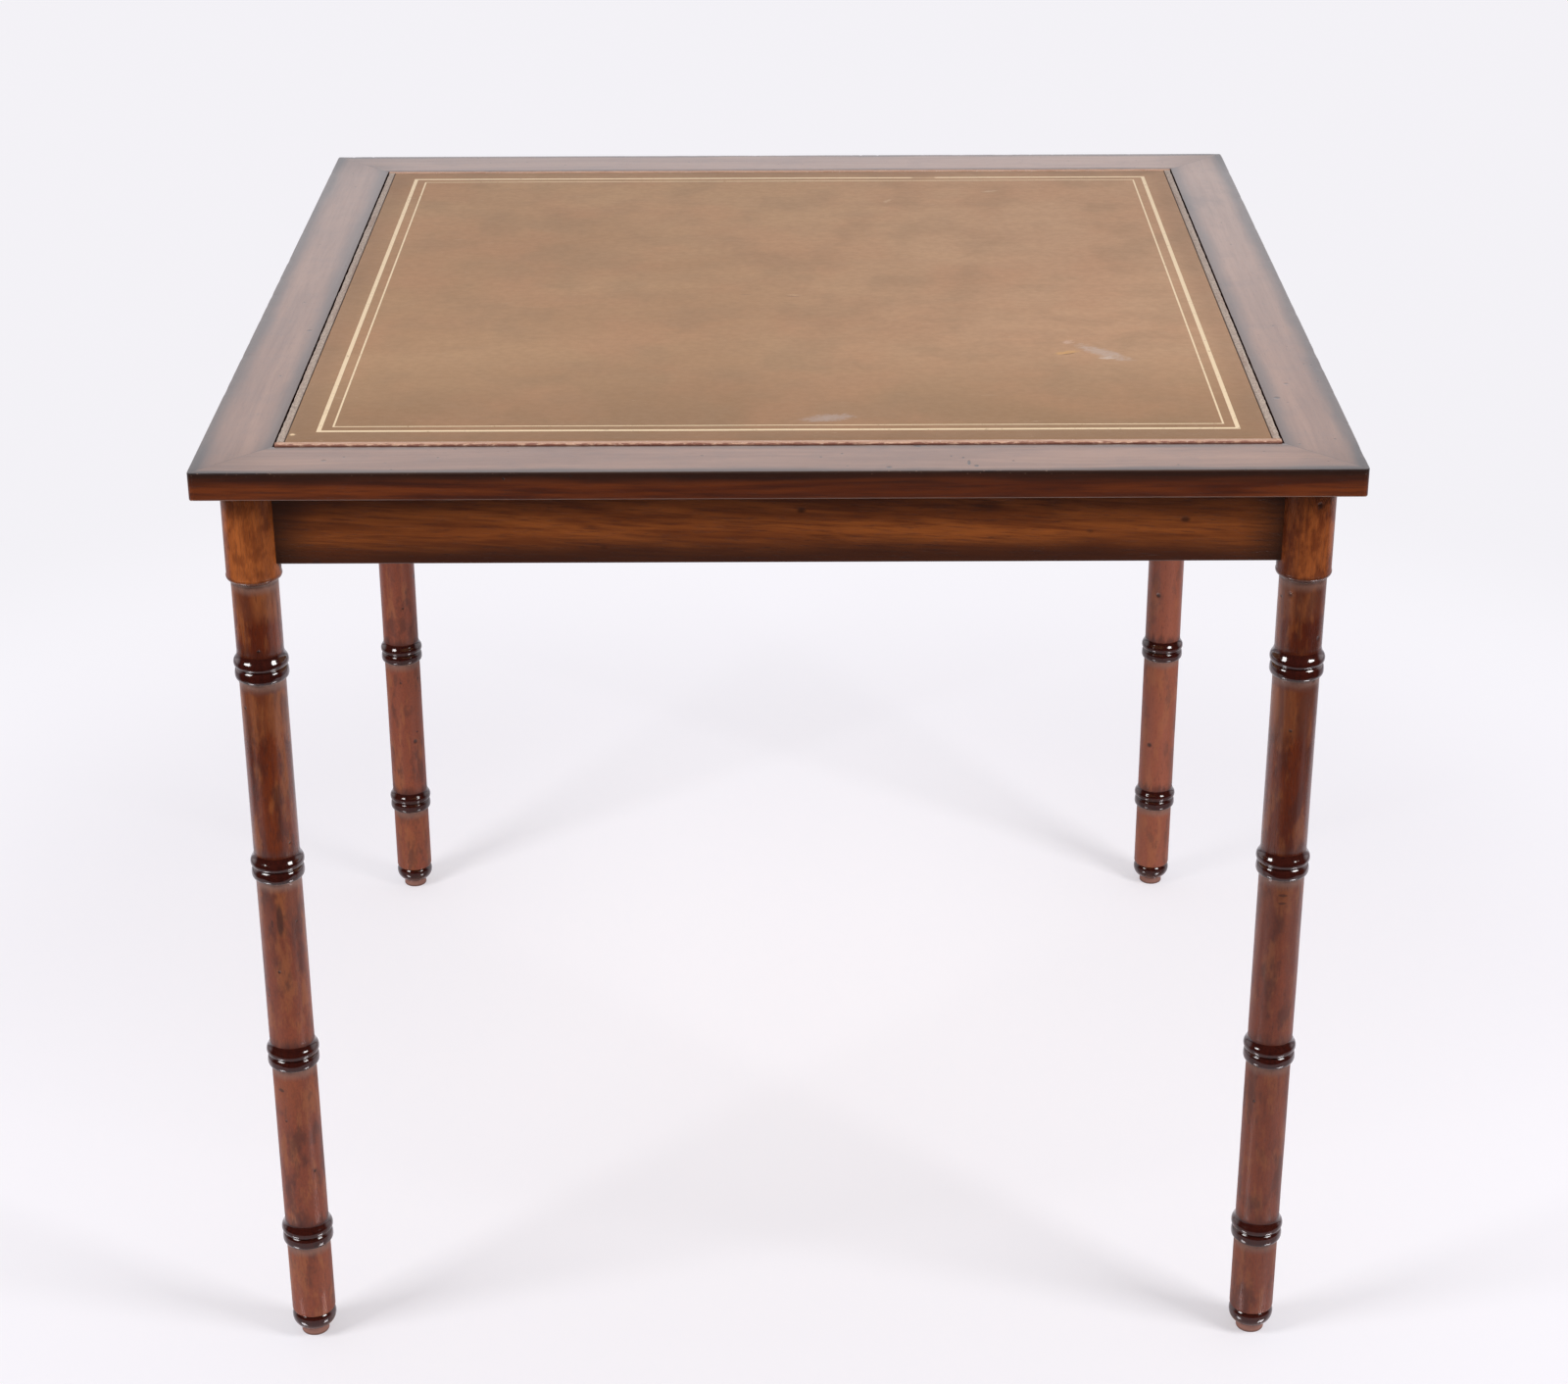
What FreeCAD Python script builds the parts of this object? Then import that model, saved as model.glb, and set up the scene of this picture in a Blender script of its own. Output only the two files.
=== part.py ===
# Square games table on four bamboo-turned legs. A mitred frame holds a loose panel: leather on
# one face and a chessboard on the other. Under the panel is a shallow well laid for backgammon.
# Millimetres. The origin is on the floor under the middle of the top, with +X to the right,
# -Y to the front and +Z up.
import FreeCAD, Part
import math
import os
import re
import Sketcher

# The driving sizes: name, millimetres, and what it measures.
SIZES = [
    ("table_width", 800.0, "top, left edge to right edge"),
    ("table_depth", 800.0, "top, front edge to back edge"),
    ("table_height", 728.0, "floor to the top face of the frame"),
    ("top_thickness", 20.0, "edge of the top frame"),
    ("rail_face", 51.0, "top rail from its outer edge to the loose panel's opening"),
    ("ledge_width", 10.0, "ledge that the loose panel lies on"),
    ("ledge_thickness", 8.0, "wood left under the loose panel"),
    ("top_arris", 1.6, "rounding of the top rail's upper outer edge"),
    ("lower_arris", 0.9, "bevel of a rail's or apron's lower outer edge"),
    ("corner_radius", 3.0, "rounding of the top's corners in plan"),
    ("key_length", 36.0, "loose tongue in a corner mitre, along the joint"),
    ("key_width", 20.0, "loose tongue across the joint"),
    ("key_thickness", 4.0, "loose tongue, top to bottom"),
    ("key_inset", 25.0, "top's edges to the middle of the tongue"),
    ("leg_inset", 34.5, "top's edges to the axis of a leg"),
    ("collar_radius", 19.2, "plain collar at the head of a leg"),
    ("collar_height", 70.0, "collar from the top frame down to its shoulder"),
    ("collar_shoulder", 3.0, "slope under the collar, along the leg"),
    ("shaft_radius", 16.4, "leg between its turned rings"),
    ("lowest_ring_height", 94.7, "floor to the groove of the lowest ring"),
    ("highest_ring_drop", 136.7, "top frame down to the groove of the highest ring"),
    ("ring_radius", 19.8, "crown of a ring's two beads"),
    ("ring_groove_radius", 18.0, "groove between a ring's two beads"),
    ("lower_bead_height", 8.6, "ring's lower bead, which ends in a square step"),
    ("upper_crown_rise", 3.9, "ring's groove up to the crown of its upper bead"),
    ("ring_flare_height", 8.5, "slope from that crown back to the shaft"),
    ("foot_peg_radius", 10.6, "peg that stands on the floor"),
    ("foot_peg_height", 7.0, "peg below the foot bead"),
    ("foot_bead_radius", 16.8, "crown of the foot bead"),
    ("foot_bead_height", 13.6, "foot bead from the peg up to its notch"),
    ("foot_notch_radius", 15.3, "notch between foot bead and shaft"),
    ("shaft_end_slope", 2.6, "sloped lower end of the shaft, along the leg"),
    ("apron_height", 57.5, "apron, top to bottom"),
    ("apron_thickness", 18.0, "apron, outer face to inner face"),
    ("apron_forward", 8.0, "apron's outer face ahead of the leg's axis"),
    ("housing_land", 2.0, "leg wood left between the inner edges of its two housings"),
    ("tenon_thickness", 8.0, "stub tenon at each end of an apron"),
    ("tenon_cheek", 6.0, "apron left above and below the stub tenon"),
    ("tenon_land", 1.0, "leg wood left between its two mortises"),
    ("tongue_thickness", 6.0, "tongue along an apron's upper edge"),
    ("tongue_height", 5.0, "tongue above the apron, in the top rail's groove"),
    ("floor_rise", 7.5, "apron's lower edge up to the well floor"),
    ("floor_thickness", 6.0, "board that closes the well underneath"),
    ("floor_tongue", 4.8, "edge of the well floor held in the apron's groove"),
    ("floor_leg_gap", 1.3, "well floor's corner notch clear of the leg"),
    ("finger_hole_radius", 12.5, "hole through bar and floor, to push the panel up"),
    ("lining_thickness", 10.0, "upright lining round the well"),
    ("tray_width", 46.0, "tray for counters at each side of the well"),
    ("tray_baize_thickness", 1.5, "baize on the tray's floor"),
    ("divider_thickness", 6.0, "rib between a tray and a playing field"),
    ("divider_height", 22.0, "rib above the well floor"),
    ("field_thickness", 3.0, "veneered board of a playing field"),
    ("bar_width", 36.0, "bar between the two playing fields"),
    ("bar_height", 12.0, "bar above the well floor"),
    ("bar_rounding", 3.0, "rounded upper edges of the bar"),
    ("point_length", 262.0, "backgammon point, base to tip"),
    ("point_margin", 8.0, "lining to the base of the points"),
    ("point_gap", 1.6, "gap between the bases of two points"),
    ("point_thickness", 1.0, "veneer of a backgammon point"),
    ("panel_gap", 1.3, "gap all round the loose panel"),
    ("panel_proud", 1.0, "loose panel above the frame's top face"),
    ("lipping_width", 6.0, "hardwood lipping round the loose panel"),
    ("lipping_arris", 0.8, "bevel of the lipping's upper outer edge"),
    ("leather_thickness", 1.2, "leather on the loose panel"),
    ("board_margin", 58.7, "panel's board, from its edge to the chessboard's dark band"),
    ("glue_line", 0.2, "joint between pieces of the chessboard's veneer"),
    ("veneer_thickness", 1.0, "veneer of the chessboard"),
    ("stringing_width", 3.0, "pale line round the squares"),
    ("banding_width", 40.0, "dark band round the stringing"),
    ("joint_clearance", 0.1, "room round a tenon, tongue or board in its seat"),
    ("overrun", 5.0, "length by which a cut runs past what it cuts"),
]

# How many of each there are.
RINGS_PER_LEG = 4
SQUARES_PER_ROW = 8
POINTS_PER_FIELD_ROW = 6

# Rise of an arc above its chord, as a share of its radius: a quarter turn and an eighth turn.
quarter_rise_share = 1 - math.cos(math.radians(45))
eighth_rise_share = 1 - math.cos(math.radians(22.5))

document = FreeCAD.newDocument("games_table")
sheet = document.addObject("Spreadsheet::Sheet", "Sizes")
for line, (size_name, size, meaning) in enumerate(SIZES, start=1):
    sheet.set("A%d" % line, meaning)
    sheet.set("B%d" % line, str(size))
    sheet.setAlias("B%d" % line, size_name)
document.recompute()

size_names = {size_name for size_name, size, meaning in SIZES}
sub_parts = []


def link(formula):
    """The formula with the sheet's name set before each of its sizes."""
    def with_sheet(word):
        return "Sizes." + word.group() if word.group() in size_names else word.group()
    return re.sub(r"[a-z_]+", with_sheet, formula)


def value(formula):
    return float(sheet.evalExpression(link(formula)))


def bind(thing, item, formula):
    thing.setExpression(item, link(formula))


def own_datum(body, role):
    """One of the body's own origin planes or axes."""
    for datum in body.Origin.OriginFeatures:
        if datum.Role == role:
            return datum


def new_body(label, quarter_turns=0):
    """An empty body under its own label, turned about the table's vertical axis."""
    body = document.addObject("PartDesign::Body", label)
    body.Label = label
    turn = FreeCAD.Rotation(FreeCAD.Vector(0, 0, 1), 90 * quarter_turns)
    body.Placement = FreeCAD.Placement(FreeCAD.Vector(), turn)
    sub_parts.append(body)
    return body


def fix_point(drawing, edge, end, place):
    """Hold one end of an edge at a place given by two formulas."""
    for kind, axis, formula in (("DistanceX", -2, place[0]), ("DistanceY", -1, place[1])):
        if formula == "0":
            drawing.addConstraint(Sketcher.Constraint("PointOnObject", edge, end, axis))
            continue
        index = drawing.addConstraint(Sketcher.Constraint(kind, -1, 1, edge, end, value(formula)))
        name = "%s_%d_%d" % (kind, edge, end)
        drawing.renameConstraint(index, name)
        bind(drawing, "Constraints." + name, formula)


def hold_radius(drawing, edge, formula):
    index = drawing.addConstraint(Sketcher.Constraint("Radius", edge, value(formula)))
    name = "Radius_%d" % edge
    drawing.renameConstraint(index, name)
    bind(drawing, "Constraints." + name, formula)


def add_outline(drawing, points):
    """A closed outline through points, each of two formulas. A third formula makes the edge that
    leaves the point an arc, and says how far it rises to the right of its chord."""
    ends = []
    for index, point in enumerate(points):
        following = points[(index + 1) % len(points)]
        start = FreeCAD.Vector(value(point[0]), value(point[1]), 0)
        stop = FreeCAD.Vector(value(following[0]), value(following[1]), 0)
        if len(point) == 2:
            edge = drawing.addGeometry(Part.LineSegment(start, stop))
            ends.append((edge, 1, 2))
            continue
        rise = value(point[2])
        chord = stop - start
        radius = (chord.Length ** 2 + 4 * rise ** 2) / (8 * rise)
        outward = FreeCAD.Vector(chord.y, -chord.x, 0).normalize()
        centre = (start + stop) / 2 + outward * (rise - radius)
        angles = [math.atan2(end.y - centre.y, end.x - centre.x) for end in (start, stop)]
        if rise < 0:
            angles.reverse()
        circle = Part.Circle(centre, FreeCAD.Vector(0, 0, 1), abs(radius))
        edge = drawing.addGeometry(Part.ArcOfCircle(circle, angles[0], angles[1]))
        ends.append((edge, 1, 2) if rise > 0 else (edge, 2, 1))
    for index, (edge, first, last) in enumerate(ends):
        next_edge, next_first, next_last = ends[(index + 1) % len(ends)]
        drawing.addConstraint(Sketcher.Constraint("Coincident", edge, last, next_edge, next_first))
    for index, (edge, first, last) in enumerate(ends):
        point = points[index]
        following = points[(index + 1) % len(points)]
        fix_point(drawing, edge, first, point)
        if len(point) == 3:
            across = "(%s - (%s))" % (following[0], point[0])
            along = "(%s - (%s))" % (following[1], point[1])
            rise = "(%s)" % point[2]
            hold_radius(drawing, edge, "abs((%s^2 + %s^2 + 4 * %s^2) / (8 * %s))"
                        % (across, along, rise, rise))


def add_circle(drawing, centre, radius):
    place = FreeCAD.Vector(value(centre[0]), value(centre[1]), 0)
    edge = drawing.addGeometry(Part.Circle(place, FreeCAD.Vector(0, 0, 1), value(radius)))
    fix_point(drawing, edge, 3, centre)
    hold_radius(drawing, edge, radius)


def draw(body, role, outlines=(), circles=(), raised="0"):
    """A drawing on one of the body's own planes, raised off it by a formula."""
    drawing = body.newObject("Sketcher::SketchObject", body.Name + "_drawing")
    drawing.AttachmentSupport = [(own_datum(body, role), "")]
    drawing.MapMode = "FlatFace"
    if raised != "0":
        bind(drawing, "AttachmentOffset.Base.z", raised)
    for points in outlines:
        add_outline(drawing, points)
    for centre, radius in circles:
        add_circle(drawing, centre, radius)
    return drawing


def feature(body, kind, drawing, **settings):
    """A Pad, Pocket, Revolution or Groove of a drawing, which becomes the body's tip."""
    made = body.newObject("PartDesign::" + kind, body.Name + "_" + kind)
    made.Profile = drawing
    for item, setting in settings.items():
        if item in ("Length", "Angle"):
            bind(made, item, setting)
        else:
            setattr(made, item, setting)
    body.Tip = made
    return made


def in_line(body, axis, spacing, count):
    """A row of copies along one of the body's axes, for repeat to fill."""
    made = body.newObject("PartDesign::LinearPattern", body.Name + "_row")
    made.Direction = (own_datum(body, axis), [""])
    made.Mode = "Spacing"
    bind(made, "Offset", spacing)
    made.Occurrences = count
    return made


def in_circle(body, count):
    """Copies all the way round the upright axis, for repeat to fill."""
    made = body.newObject("PartDesign::PolarPattern", body.Name + "_circle")
    made.Axis = (own_datum(body, "Z_Axis"), [""])
    made.Angle = 360
    made.Occurrences = count
    return made


def mirrored(body, plane):
    """A copy on the other side of one of the body's planes, for repeat to fill."""
    made = body.newObject("PartDesign::Mirrored", body.Name + "_mirror")
    made.MirrorPlane = (own_datum(body, plane), [""])
    return made


def repeat(body, originals, patterns):
    """Apply one pattern, or several one after another, to the originals."""
    if len(patterns) == 1:
        patterns[0].Originals = originals
        body.Tip = patterns[0]
        return
    made = body.newObject("PartDesign::MultiTransform", body.Name + "_repeat")
    made.Originals = originals
    made.Transformations = patterns
    body.Tip = made


def rectangle(low_x, low_y, high_x, high_y):
    return [(low_x, low_y), (high_x, low_y), (high_x, high_y), (low_x, high_y)]


def turned(place, quarter_turns):
    """A place in the front side's frame, turned to another side."""
    x, y = place
    return [(x, y), ("-(%s)" % y, x), ("-(%s)" % x, "-(%s)" % y), (y, "-(%s)" % x)][quarter_turns]


# Heights and half widths that several pieces share.
half_width = "(table_width / 2)"
half_depth = "(table_depth / 2)"
frame_underside = "(table_height - top_thickness)"
ledge_top = "(table_height - top_thickness + ledge_thickness)"
panel_top = "(table_height + panel_proud)"
apron_bottom = "(table_height - top_thickness - apron_height)"
floor_bottom = "(%s + floor_rise)" % apron_bottom
floor_top = "(%s + floor_rise + floor_thickness)" % apron_bottom
well_half_width = "(table_width / 2 - rail_face - ledge_width)"
well_half_depth = "(table_depth / 2 - rail_face - ledge_width)"
panel_half_width = "(table_width / 2 - rail_face - panel_gap)"
panel_half_depth = "(table_depth / 2 - rail_face - panel_gap)"

# A piece that runs along a side is drawn for the front and turned to its own side, one more
# quarter turn for each: name, half of the top's length along it, and the centre to its edge.
SIDES = [
    ("front", half_width, half_depth),
    ("right", half_depth, half_width),
    ("back", half_width, half_depth),
    ("left", half_depth, half_width),
]

# An apron's end in a leg: how far its shoulder stands from the leg's axis, the middle of its
# thickness beyond that axis, and how near the stub tenon's tip comes to the axis.
apron_inward = "(apron_thickness - apron_forward)"
shoulder_distance = "(%s + housing_land)" % apron_inward
apron_middle = "(apron_thickness / 2 - apron_forward)"
tenon_tip = "(%s + tenon_thickness / 2 + tenon_land)" % apron_middle


# The loose tongues lie halfway up the top frame, on the mitre line.
key_middle = "(table_height - top_thickness / 2)"


# Where the flat crown of a foot bead starts and ends, as shares of the bead's height.
foot_crown_shares = (0.42, 0.8)


def build_leg(corner, quarter_turns, half_length, reach):
    """A turned leg with rings like bamboo joints, housed and mortised for two aprons."""
    leg = new_body("leg_" + corner, quarter_turns)
    place = turned(("-(%s - leg_inset)" % half_length, "-(%s - leg_inset)" % reach), quarter_turns)
    bind(leg, "Placement.Base.x", place[0])
    bind(leg, "Placement.Base.y", place[1])

    notch_height = "(foot_peg_height + foot_bead_height)"
    shoulder_height = "(%s - collar_height)" % frame_underside
    stock = draw(leg, "XZ_Plane", [[
        ("0", "0"),
        ("foot_peg_radius", "0"),
        ("foot_peg_radius", "foot_peg_height"),
        ("foot_bead_radius", "foot_peg_height + foot_bead_height * %s" % foot_crown_shares[0]),
        ("foot_bead_radius", "foot_peg_height + foot_bead_height * %s" % foot_crown_shares[1]),
        ("foot_notch_radius", notch_height),
        ("shaft_radius", "%s + shaft_end_slope" % notch_height),
        ("shaft_radius", shoulder_height),
        ("collar_radius", "%s + collar_shoulder" % shoulder_height),
        ("collar_radius", frame_underside),
        ("0", frame_underside),
    ]])
    feature(leg, "Revolution", stock, ReferenceAxis=(stock, ["V_Axis"]))

    ring_top = "lowest_ring_height + upper_crown_rise + ring_flare_height"
    beads = draw(leg, "XZ_Plane", [[
        ("0", "lowest_ring_height - lower_bead_height"),
        ("ring_groove_radius", "lowest_ring_height - lower_bead_height"),
        ("ring_radius", "lowest_ring_height - lower_bead_height / 2"),
        ("ring_groove_radius", "lowest_ring_height"),
        ("ring_radius", "lowest_ring_height + upper_crown_rise"),
        ("shaft_radius", ring_top),
        ("0", ring_top),
    ]])
    lowest_ring = feature(leg, "Revolution", beads, ReferenceAxis=(beads, ["V_Axis"]))
    ring_pitch = "(%s - highest_ring_drop - lowest_ring_height) / %d" % (
        frame_underside, RINGS_PER_LEG - 1)
    repeat(leg, [lowest_ring], [in_line(leg, "Z_Axis", ring_pitch, RINGS_PER_LEG)])

    housing = rectangle(shoulder_distance, "-apron_forward",
                        "collar_radius + overrun", apron_inward)
    mortise = rectangle("%s - joint_clearance" % tenon_tip,
                        "%s - tenon_thickness / 2 - joint_clearance" % apron_middle,
                        "%s + joint_clearance" % shoulder_distance,
                        "%s + tenon_thickness / 2 + joint_clearance" % apron_middle)
    mortise_top = "%s - tenon_cheek + joint_clearance" % frame_underside
    mortise_height = "apron_height - 2 * tenon_cheek + 2 * joint_clearance"
    for cut, top, height in ((housing, frame_underside, "apron_height"),
                             (mortise, mortise_top, mortise_height)):
        across = draw(leg, "XY_Plane", [cut], raised=top)
        feature(leg, "Pocket", across, Length=height)
        along = draw(leg, "XY_Plane", [[(y, x) for x, y in cut]], raised=top)
        feature(leg, "Pocket", along, Length=height)


def build_apron(side, quarter_turns, half_length, reach):
    """An apron with a stub tenon at each end and a tongue on its upper edge, grooved inside for
    the well floor."""
    apron = new_body("apron_" + side, quarter_turns)
    axis_line = "(leg_inset - %s)" % reach
    outer = "(%s - apron_forward)" % axis_line
    inner = "(%s + %s)" % (axis_line, apron_inward)
    middle = "(%s + %s)" % (axis_line, apron_middle)
    groove = "(%s - floor_tongue - joint_clearance)" % inner
    section = draw(apron, "YZ_Plane", [[
        ("%s + lower_arris" % outer, apron_bottom),
        (inner, apron_bottom),
        (inner, floor_bottom),
        (groove, floor_bottom),
        (groove, "%s + joint_clearance" % floor_top),
        (inner, "%s + joint_clearance" % floor_top),
        (inner, frame_underside),
        ("%s + tongue_thickness / 2" % middle, frame_underside),
        ("%s + tongue_thickness / 2" % middle, "%s + tongue_height" % frame_underside),
        ("%s - tongue_thickness / 2" % middle, "%s + tongue_height" % frame_underside),
        ("%s - tongue_thickness / 2" % middle, frame_underside),
        (outer, frame_underside),
        (outer, "%s + lower_arris" % apron_bottom),
    ]])
    shoulder = "(%s - leg_inset - %s)" % (half_length, shoulder_distance)
    feature(apron, "Pad", section, Length="2 * %s" % shoulder, SideType="Symmetric")

    tenon_section = draw(apron, "YZ_Plane", [rectangle(
        "%s - tenon_thickness / 2" % middle, "%s + tenon_cheek" % apron_bottom,
        "%s + tenon_thickness / 2" % middle, "%s - tenon_cheek" % frame_underside)], raised=shoulder)
    tenon = feature(apron, "Pad", tenon_section, Length="%s - %s" % (shoulder_distance, tenon_tip))
    repeat(apron, [tenon], [mirrored(apron, "YZ_Plane")])


def build_top_rail(side, quarter_turns, half_length, reach):
    """A rail of the top frame, rebated for the loose panel, grooved underneath for the apron's
    tongue and mitred at both ends."""
    rail = new_body("top_rail_" + side, quarter_turns)
    edge = "(-%s)" % reach
    groove_middle = "(%s + leg_inset + %s)" % (edge, apron_middle)
    groove_half = "(tongue_thickness / 2 + joint_clearance)"
    groove_top = "(%s + tongue_height + joint_clearance)" % frame_underside
    section = draw(rail, "YZ_Plane", [[
        ("%s + lower_arris" % edge, frame_underside),
        ("%s - %s" % (groove_middle, groove_half), frame_underside),
        ("%s - %s" % (groove_middle, groove_half), groove_top),
        ("%s + %s" % (groove_middle, groove_half), groove_top),
        ("%s + %s" % (groove_middle, groove_half), frame_underside),
        ("%s + rail_face + ledge_width" % edge, frame_underside),
        ("%s + rail_face + ledge_width" % edge, ledge_top),
        ("%s + rail_face" % edge, ledge_top),
        ("%s + rail_face" % edge, "table_height"),
        ("%s + top_arris" % edge, "table_height", "top_arris * %s" % quarter_rise_share),
        (edge, "table_height - top_arris"),
        (edge, "%s + lower_arris" % frame_underside),
    ]])
    feature(rail, "Pad", section, Length="2 * %s" % half_length, SideType="Symmetric")

    end = "(-%s)" % half_length
    beyond = "rail_face + ledge_width + overrun"
    on_mitre = "corner_radius * %s" % quarter_rise_share
    waste = draw(rail, "XY_Plane", [[
        ("%s + corner_radius" % end, edge, "-corner_radius * %s" % eighth_rise_share),
        ("%s + %s" % (end, on_mitre), "%s + %s" % (edge, on_mitre)),
        ("%s + %s" % (end, beyond), "%s + %s" % (edge, beyond)),
        ("%s - overrun" % end, "%s + %s" % (edge, beyond)),
        ("%s - overrun" % end, "%s - overrun" % edge),
        ("%s + corner_radius" % end, "%s - overrun" % edge),
    ]], raised="table_height + overrun")
    mitre = feature(rail, "Pocket", waste, Length="top_thickness + 2 * overrun")

    slot = draw(rail, "XY_Plane", [key_outline(end, edge, "joint_clearance")], raised=key_middle)
    key_slot = feature(rail, "Pocket", slot, Length="key_thickness + 2 * joint_clearance",
                       SideType="Symmetric")
    repeat(rail, [mitre, key_slot], [mirrored(rail, "YZ_Plane")])


def key_outline(end, edge, room):
    """A tongue that lies along the mitre line at the left end of a rail, with room round it."""
    lengthwise = "((key_length / 2 + %s) * sqrt(0.5))" % room
    crosswise = "((key_width / 2 + %s) * sqrt(0.5))" % room
    corners = []
    for along, across in ((-1, -1), (-1, 1), (1, 1), (1, -1)):
        x = "%s + key_inset + %d * %s + %d * %s" % (end, along, lengthwise, across, crosswise)
        y = "%s + key_inset + %d * %s - %d * %s" % (edge, along, lengthwise, across, crosswise)
        corners.append((x, y))
    return corners


def build_mitre_keys():
    """Four loose tongues glued into the mitres of the top frame."""
    keys = new_body("mitre_keys")
    outline = key_outline("(-%s)" % half_width, "(-%s)" % half_depth, "0")
    drawing = draw(keys, "XY_Plane", [outline], raised=key_middle)
    key = feature(keys, "Pad", drawing, Length="key_thickness", SideType="Symmetric")
    repeat(keys, [key], [mirrored(keys, "YZ_Plane"), mirrored(keys, "XZ_Plane")])


def build_well_floor():
    """Board under the well, held in the aprons' grooves, notched round the legs, with a hole in
    its middle through which a finger pushes the loose panel up."""
    floor = new_body("well_floor")
    held = "(leg_inset + %s - floor_tongue)" % apron_inward
    notched = "(leg_inset + collar_radius + floor_leg_gap)"
    far_x, far_y = ["(%s - %s)" % (half, held) for half in (half_width, half_depth)]
    near_x, near_y = ["(%s - %s)" % (half, notched) for half in (half_width, half_depth)]
    corner = [(far_x, near_y), (near_x, near_y), (near_x, far_y)]
    outline = []
    for sign_x, sign_y in ((1, 1), (-1, 1), (-1, -1), (1, -1)):
        points = [("%d * %s" % (sign_x, x), "%d * %s" % (sign_y, y)) for x, y in corner]
        outline += points if sign_x == sign_y else points[::-1]
    board = draw(floor, "XY_Plane", [outline], raised=floor_bottom)
    feature(floor, "Pad", board, Length="floor_thickness")
    hole = draw(floor, "XY_Plane", circles=[(("0", "0"), "finger_hole_radius")], raised=floor_top)
    feature(floor, "Pocket", hole, Length="floor_thickness + overrun")


def build_bar_shape(label, quarter_turns, outline, half_length):
    """A straight bar of one section that runs along its side, equal each way from the middle."""
    body = new_body(label, quarter_turns)
    section = draw(body, "YZ_Plane", [outline])
    feature(body, "Pad", section, Length="2 * %s" % half_length, SideType="Symmetric")
    return body


def build_well_side(side, quarter_turns):
    """Upright lining between the well floor and the ledge. Those at front and back run through."""
    if side in ("front", "back"):
        half_length, inner = "(%s + lining_thickness)" % well_half_width, well_half_depth
    else:
        half_length, inner = well_half_depth, well_half_width
    outline = rectangle("-%s - lining_thickness" % inner, floor_top, "-%s" % inner, frame_underside)
    build_bar_shape("well_side_" + side, quarter_turns, outline, half_length)


# Across the well: the outer edge of a playing field, its width, and one point's share of it.
field_edge = "(%s - tray_width - divider_thickness)" % well_half_width
field_width = "(%s - bar_width / 2)" % field_edge
point_pitch = "(%s / %d)" % (field_width, POINTS_PER_FIELD_ROW)
field_top = "(%s + field_thickness)" % floor_top


def point_outline(position, from_front):
    """One long triangle of the right-hand field, based on its front edge or its back edge."""
    side = -1 if from_front else 1
    left = "bar_width / 2 + %d * %s + point_gap / 2" % (position, point_pitch)
    right = "bar_width / 2 + %d * %s - point_gap / 2" % (position + 1, point_pitch)
    middle = "bar_width / 2 + %s * %s" % (position + 0.5, point_pitch)
    base = "%d * (%s - point_margin)" % (side, well_half_depth)
    tip = "%d * (%s - point_margin - point_length)" % (side, well_half_depth)
    return [(left, base), (right, base), (middle, tip)]


def build_playing_field(side, quarter_turns):
    """Veneered board of six points' width, recessed for its inlaid points."""
    field = new_body("playing_field_" + side, quarter_turns)
    board = draw(field, "XY_Plane", raised=floor_top, outlines=[rectangle(
        "bar_width / 2", "-%s" % well_half_depth, field_edge, well_half_depth)])
    feature(field, "Pad", board, Length="field_thickness")
    recesses = draw(field, "XY_Plane", raised=field_top,
                    outlines=[point_outline(0, True), point_outline(0, False)])
    recess = feature(field, "Pocket", recesses, Length="point_thickness")
    repeat(field, [recess], [in_line(field, "X_Axis", point_pitch, POINTS_PER_FIELD_ROW)])


def build_points(shade, first_from_front):
    """Every second point of both fields, in one shade of veneer, flush with the boards."""
    points = new_body(shade + "_points")
    outlines = [point_outline(0, first_from_front), point_outline(1, not first_from_front)]
    drawing = draw(points, "XY_Plane", outlines, raised="%s - point_thickness" % field_top)
    pair = feature(points, "Pad", drawing, Length="point_thickness")
    across = in_line(points, "X_Axis", "2 * %s" % point_pitch, POINTS_PER_FIELD_ROW // 2)
    repeat(points, [pair], [across, in_circle(points, 2)])


def build_centre_bar():
    """Round-edged bar between the two fields, bored for the finger hole."""
    outline = [
        ("-bar_width / 2", floor_top),
        ("bar_width / 2", floor_top),
        ("bar_width / 2", "%s + bar_height - bar_rounding" % floor_top,
         "bar_rounding * %s" % quarter_rise_share),
        ("bar_width / 2 - bar_rounding", "%s + bar_height" % floor_top),
        ("bar_rounding - bar_width / 2", "%s + bar_height" % floor_top,
         "bar_rounding * %s" % quarter_rise_share),
        ("-bar_width / 2", "%s + bar_height - bar_rounding" % floor_top),
    ]
    bar = build_bar_shape("centre_bar", 1, outline, well_half_depth)
    hole = draw(bar, "XY_Plane", circles=[(("0", "0"), "finger_hole_radius")],
                raised="%s + bar_height + overrun" % floor_top)
    feature(bar, "Pocket", hole, Length="bar_height + 2 * overrun")


def build_tray(side, quarter_turns):
    """A tray for counters at one side of the well: a round-topped rib and a strip of baize."""
    inner = "(-%s)" % field_edge
    outer = "(-%s - divider_thickness)" % field_edge
    spring = "%s + divider_height - divider_thickness / 3" % floor_top
    outline = [(outer, floor_top), (inner, floor_top),
               (inner, spring, "divider_thickness / 3"), (outer, spring)]
    build_bar_shape("tray_divider_" + side, quarter_turns, outline, well_half_depth)
    baize = rectangle("-%s" % well_half_width, floor_top,
                      outer, "%s + tray_baize_thickness" % floor_top)
    build_bar_shape("tray_baize_" + side, quarter_turns, baize, well_half_depth)


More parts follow.
